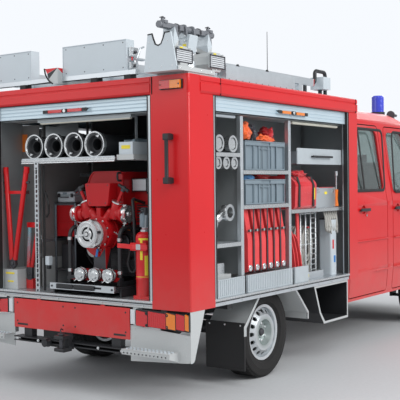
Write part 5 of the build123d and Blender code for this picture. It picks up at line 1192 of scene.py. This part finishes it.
# bag straps, case locks and labels
for x in (1660, 1905):
    strap = [(x, -1031, 1340), (x, -1034, 1520), (x, -1010, 1588), (x, -950, 1604)]
    piece.sweep(strap, strip(14, -1, 3), (0, -1, 0.4))
piece.use(yellowLabel).block(1912, 1926, -1038, -1030, 1400, 1500, 2)
piece.block(2170, 2215, -1002.5, -1000, 1440, 1462, 0.6).block(1800, 1850, -1012.5, -1010.5, 752, 774, 0.6)
piece.use(chrome).blocks(3, *[(x - 16, x + 16, -1006, -999, 1452, 1486) for x in (2050, 2330)])
piece.use(redKit).block(2060, 2330, -1003, -999.5, 1496, 1502, 1)
# upright case: plain labels and a cap, with an orange tool over it
piece.use(red).block(2276, 2300, -1022.5, -1020, 960, 1040, 0.6)
piece.use(bluePlastic).block(2300, 2330, -1022.5, -1020, 840, 900, 0.6)
piece.use(blackPlastic).block(2252, 2358, -1018, -902, 1213, 1226, 4)
piece.use(orangePlastic).tube([(2400, -1000, 1330), (2404, -990, 1400), (2396, -1000, 1480)], 20, 12)
piece.use(chrome).tube([(2396, -1000, 1480), (2398, -1000, 1600)], 9, 10)
piece.lathe(2398, -1000, 1600, "+z", [(0, 18), (40, 18), (46, 12)], 16)
# the rack's rails and rungs
for z in (760, 1020, 1280):
    piece.tube([(x, -960, z) for x in (1780, 2092)], 5)
for z in range(800, 1284, 44):
    piece.tube([(x, -962, z) for x in (1980, 2070)], 5)
# flat red lines hung over the tray, in folds
piece.use(redCanvas)
for x, out, top in sideBay["redLines"]:
    fold = ((0, 990, top), (26, 1004, 1080), (62, 1010, 960), (88, 1008, 850), (92, 1004, 794))
    piece.sweep([(x + dx, -y - out, z) for dx, y, z in fold], strip(6, -15, 15), (0, -1, 0))
fold = [(1700, -985, 1290), (1702, -990, 1120), (1698, -992, 960), (1700, -990, 795)]
piece.sweep(fold, strip(20, -6, 6), (0, 1, 0)).use(greyCanvas)
# pale line, lashed in loops over the upright case
for k in range(6):
    drop = 12 * (k % 3)
    loop = (
        (0, 1000, 1292), (12, 1012, 1230), (6, 1014, 1150 - drop), (22, 1016, 1120 - drop), (34, 1014, 1160),
        (26, 1010, 1240), (40, 1000, 1292),
    )
    piece.tube([(2150 + 40 * k + dx, -y, z) for dx, y, z in loop], 8)
piece.done()

coil = {"x": (1856, 2020), "z": 980, "first": 52, "pitch": 19, "wide": 0.72, "tall": 1.45, "points": 28}
piece = Piece("coiled_lines", "vehicle", "hose_black", greyCanvas, True)
for x in coil["x"]:
    for ring in range(5):
        radius = coil["first"] + coil["pitch"] * ring
        for layer in range(3):
            y = 24 * layer - 900 + (4 if ring % 2 else 0)
            path = []
            for n in range(coil["points"]):
                a = 2 * math.pi * n / coil["points"]
                sag = 1.0 + 0.35 * max(0, -math.sin(a)) * (ring / 5)
                out = radius * coil["wide"] * math.cos(a)
                up = radius * coil["tall"] * math.sin(a) * sag
                path.append((x + out, y + 3 * math.sin(3 * a + ring), coil["z"] + up))
            piece.tube(path, 9, 6, True)
piece.use(redBag).blocks(4, *[(x - 16, x + 16, -925, -835, 1150, 1166) for x in coil["x"]]).done()
print("kit details")


# soft goods: seat pads and folded clothing

def crowned(name, length, width, deep, at, lean, seams):
    # a closed pad with swollen faces, pulled-in sides and sewn channels; built round its own middle
    nx, ny = 22, 20
    points, faces = [], []
    for top in (1, -1):
        for i in range(nx + 1):
            for j in range(ny + 1):
                u, v = i / nx * 2 - 1, j / ny * 2 - 1
                swell = (1 - u ** 6) * (1 - v ** 6)
                channel = 0.0
                for s in range(seams):
                    place = -0.5 + (s + 0.5) / seams if seams > 1 else 0.0
                    channel += math.exp(-((v * 0.5 - place) * 26) ** 2)
                height = deep / 2 * (0.34 + 0.66 * swell ** 0.5 * (1 - 0.16 * min(1, channel)))
                pull = 1 - 0.035 * (1 - abs(u)) * (max(abs(u), abs(v)) > 0.99)
                rise = top * height * (1 if top > 0 else 0.45)
                points.append((u * length / 2 * pull, v * width / 2 * pull, rise))
    size = (nx + 1) * (ny + 1)
    for first in (0, size):
        for i in range(nx):
            for j in range(ny):
                a = first + i * (ny + 1) + j
                faces.append([a, a + ny + 1, a + ny + 2, a + 1])
    rim = [i * (ny + 1) for i in range(nx + 1)] + [nx * (ny + 1) + j for j in range(1, ny + 1)]
    rim += [i * (ny + 1) + ny for i in range(nx - 1, -1, -1)] + [j for j in range(ny - 1, 0, -1)]
    for n, a in enumerate(rim):
        b = rim[(n + 1) % len(rim)]
        faces.append([a, b, b + size, a + size])
    made = Piece(name, "vehicle", "seat_cloth", seatCloth).put(*at, 0, lean).add(points, faces).done()


# name, middle (x, y), width: cushions lie on the seat frames, back pads lean on their backs
for name, x, y, wide in (
    ("driver", 4010, 430, 500), ("codriver", 4010, -470, 540),
    ("crew_left", 3010, 535, 500), ("crew_middle", 3010, 0, 500), ("crew_right", 3010, -535, 500),
):
    crowned("seat_pad_" + name, 455, wide, 90, (x + 225, y, 1092), -2.5, 2)
    crowned("back_pad_" + name, 600, wide, 80, (x + 8, y, 1400), 78, 2)
    crowned("head_pad_" + name, 150, 250, 70, (x - 64, y, 1752), 80, 1)
print("seat pads")


def bundle(name, look, at, size, seed, folds=0.16):
    # folded clothing: a rounded lump flattened below, with folds over it
    random.seed(seed)
    shift = Vector((random.uniform(0, 50), random.uniform(0, 50), random.uniform(0, 50)))
    rings, sides = 22, 36
    points, faces = [], []
    for r in range(rings + 1):
        polar = math.pi * (r + 0.5) / (rings + 1)
        for s in range(sides):
            a = 2 * math.pi * s / sides
            d = Vector((math.sin(polar) * math.cos(a), math.sin(polar) * math.sin(a), math.cos(polar)))
            wave = noise.noise(d * 1.6 + shift) * 0.35 + abs(noise.noise(d * 3.6 + shift)) * folds * 2
            wave += noise.noise(Vector((d.x * 2, d.y * 2, d.z * 9)) + shift) * folds
            p = d * (1 + wave - folds) * (1 / max(abs(d.x), abs(d.y), abs(d.z)) ** 0.45) * 0.86
            points.append((p.x * size[0] / 2, p.y * size[1] / 2, max(p.z, -0.42) * size[2] / 2))
    for r in range(rings):
        for s in range(sides):
            n = (s + 1) % sides
            faces.append((r * sides + s, (r + 1) * sides + s, (r + 1) * sides + n, r * sides + n))
    faces.append(list(range(sides)))
    faces.append([rings * sides + s for s in range(sides)][::-1])
    made = Piece(name, "vehicle", "seat_cloth", look, True).put(*at).add(points, faces).done()


bundle("orange_vest", orangeCloth, (905, -930, 1925), (170, 190, 240), 3)
bundle("dark_jacket", darkCloth, (1060, -880, 1915), (230, 240, 230), 5)
bundle("orange_vest_folded", orangeCloth, (1200, -960, 1876), (250, 130, 100), 8)
bundle("red_cap_bag", redBag, (1330, -900, 1900), (130, 180, 190), 9)
bundle("blue_cloth", blueCloth, (920, -950, 1578), (220, 150, 62), 12)
bundle("red_cloth", redCanvas, (1190, -900, 1588), (260, 220, 60), 14)
bundle("bag_top", redBag, (1790, -890, 1604), (300, 230, 100), 17, 0.2)
print("soft goods")

# floor, light and camera

view = {
    "place": (-7.827, -4.629, 1.543), "yaw": 36.105, "pitch": -1.071, "roll": -0.669,
    "lens": 82.2, "shift": (0.0599, 0.0029),
}
# name, place, size, power
lamps = (
    ("keyLamp", (-6, -7, 7.5), 5.0, 310), ("sideLamp", (2, -15, 8), 7.0, 1150),
    ("fillLamp", (-8, 4, 5), 5.0, 110), ("frontLamp", (8, 2, 5), 5.0, 160),
)
floorReach = 60
worldLook = {"color": (0.93, 0.96, 1.0, 1), "seen": 1.0, "light": 0.62}


def link(name, data):
    made = bpy.data.objects.new(name, data)
    bpy.context.scene.collection.objects.link(made)
    return made


def makeCamera():
    yaw, pitch, roll = [math.radians(view[key]) for key in ("yaw", "pitch", "roll")]
    ahead = Vector((math.cos(yaw) * math.cos(pitch), math.sin(yaw) * math.cos(pitch), math.sin(pitch)))
    right = ahead.cross(Vector((0, 0, 1))).normalized()
    up = right.cross(ahead)
    side = right * math.cos(roll) + up * math.sin(roll)
    top = up * math.cos(roll) - right * math.sin(roll)
    data = bpy.data.cameras.new("photoCamera")
    data.sensor_width = 36
    data.lens = view["lens"]
    data.shift_x, data.shift_y = view["shift"]
    camera = link("photoCamera", data)
    rows = [(side[i], top[i], -ahead[i], view["place"][i]) for i in range(3)]
    camera.matrix_world = Matrix(rows + [(0, 0, 0, 1)])
    bpy.context.scene.camera = camera


def makeFloor():
    shade = Shade("floorPaint", (0.62, 0.63, 0.64), 0.8)
    shade.set("Base Color", shade.mix(shade.noise(30, 4, 0.6), (0.58, 0.59, 0.6), (0.66, 0.67, 0.68)))
    mesh = bpy.data.meshes.new("floor")
    signs = ((-1, -1), (1, -1), (1, 1), (-1, 1))
    mesh.from_pydata([(floorReach * a, floorReach * b, 0) for a, b in signs], [], [(0, 1, 2, 3)])
    mesh.materials.append(shade.material)
    floor = link("floor", mesh)


def makeWorld():
    # brighter to the camera and through glass than as light
    world = bpy.data.worlds.new("studio")
    world.use_nodes = True
    tree = world.node_tree
    back = tree.nodes["Background"]
    back.inputs[0].default_value = worldLook["color"]
    rays = tree.nodes.new("ShaderNodeLightPath")
    seen = tree.nodes.new("ShaderNodeMath")
    seen.operation = "MAXIMUM"
    tree.links.new(rays.outputs["Is Camera Ray"], seen.inputs[0])
    tree.links.new(rays.outputs["Is Transmission Ray"], seen.inputs[1])
    level = tree.nodes.new("ShaderNodeMapRange")
    level.inputs["To Min"].default_value = worldLook["light"]
    level.inputs["To Max"].default_value = worldLook["seen"]
    tree.links.new(seen.outputs[0], level.inputs["Value"])
    tree.links.new(level.outputs[0], back.inputs["Strength"])
    bpy.context.scene.world = world


makeCamera()
makeFloor()
makeWorld()
for name, place, size, power in lamps:
    data = bpy.data.lights.new(name, "AREA")
    data.energy = power
    data.size = size
    lamp = link(name, data)
    lamp.location = place
    lamp.rotation_euler = (Vector((0, 0, 1.1)) - Vector(place)).to_track_quat("-Z", "Y").to_euler()
bpy.context.scene.view_settings.view_transform = "Standard"
print("camera, floor and lamps")
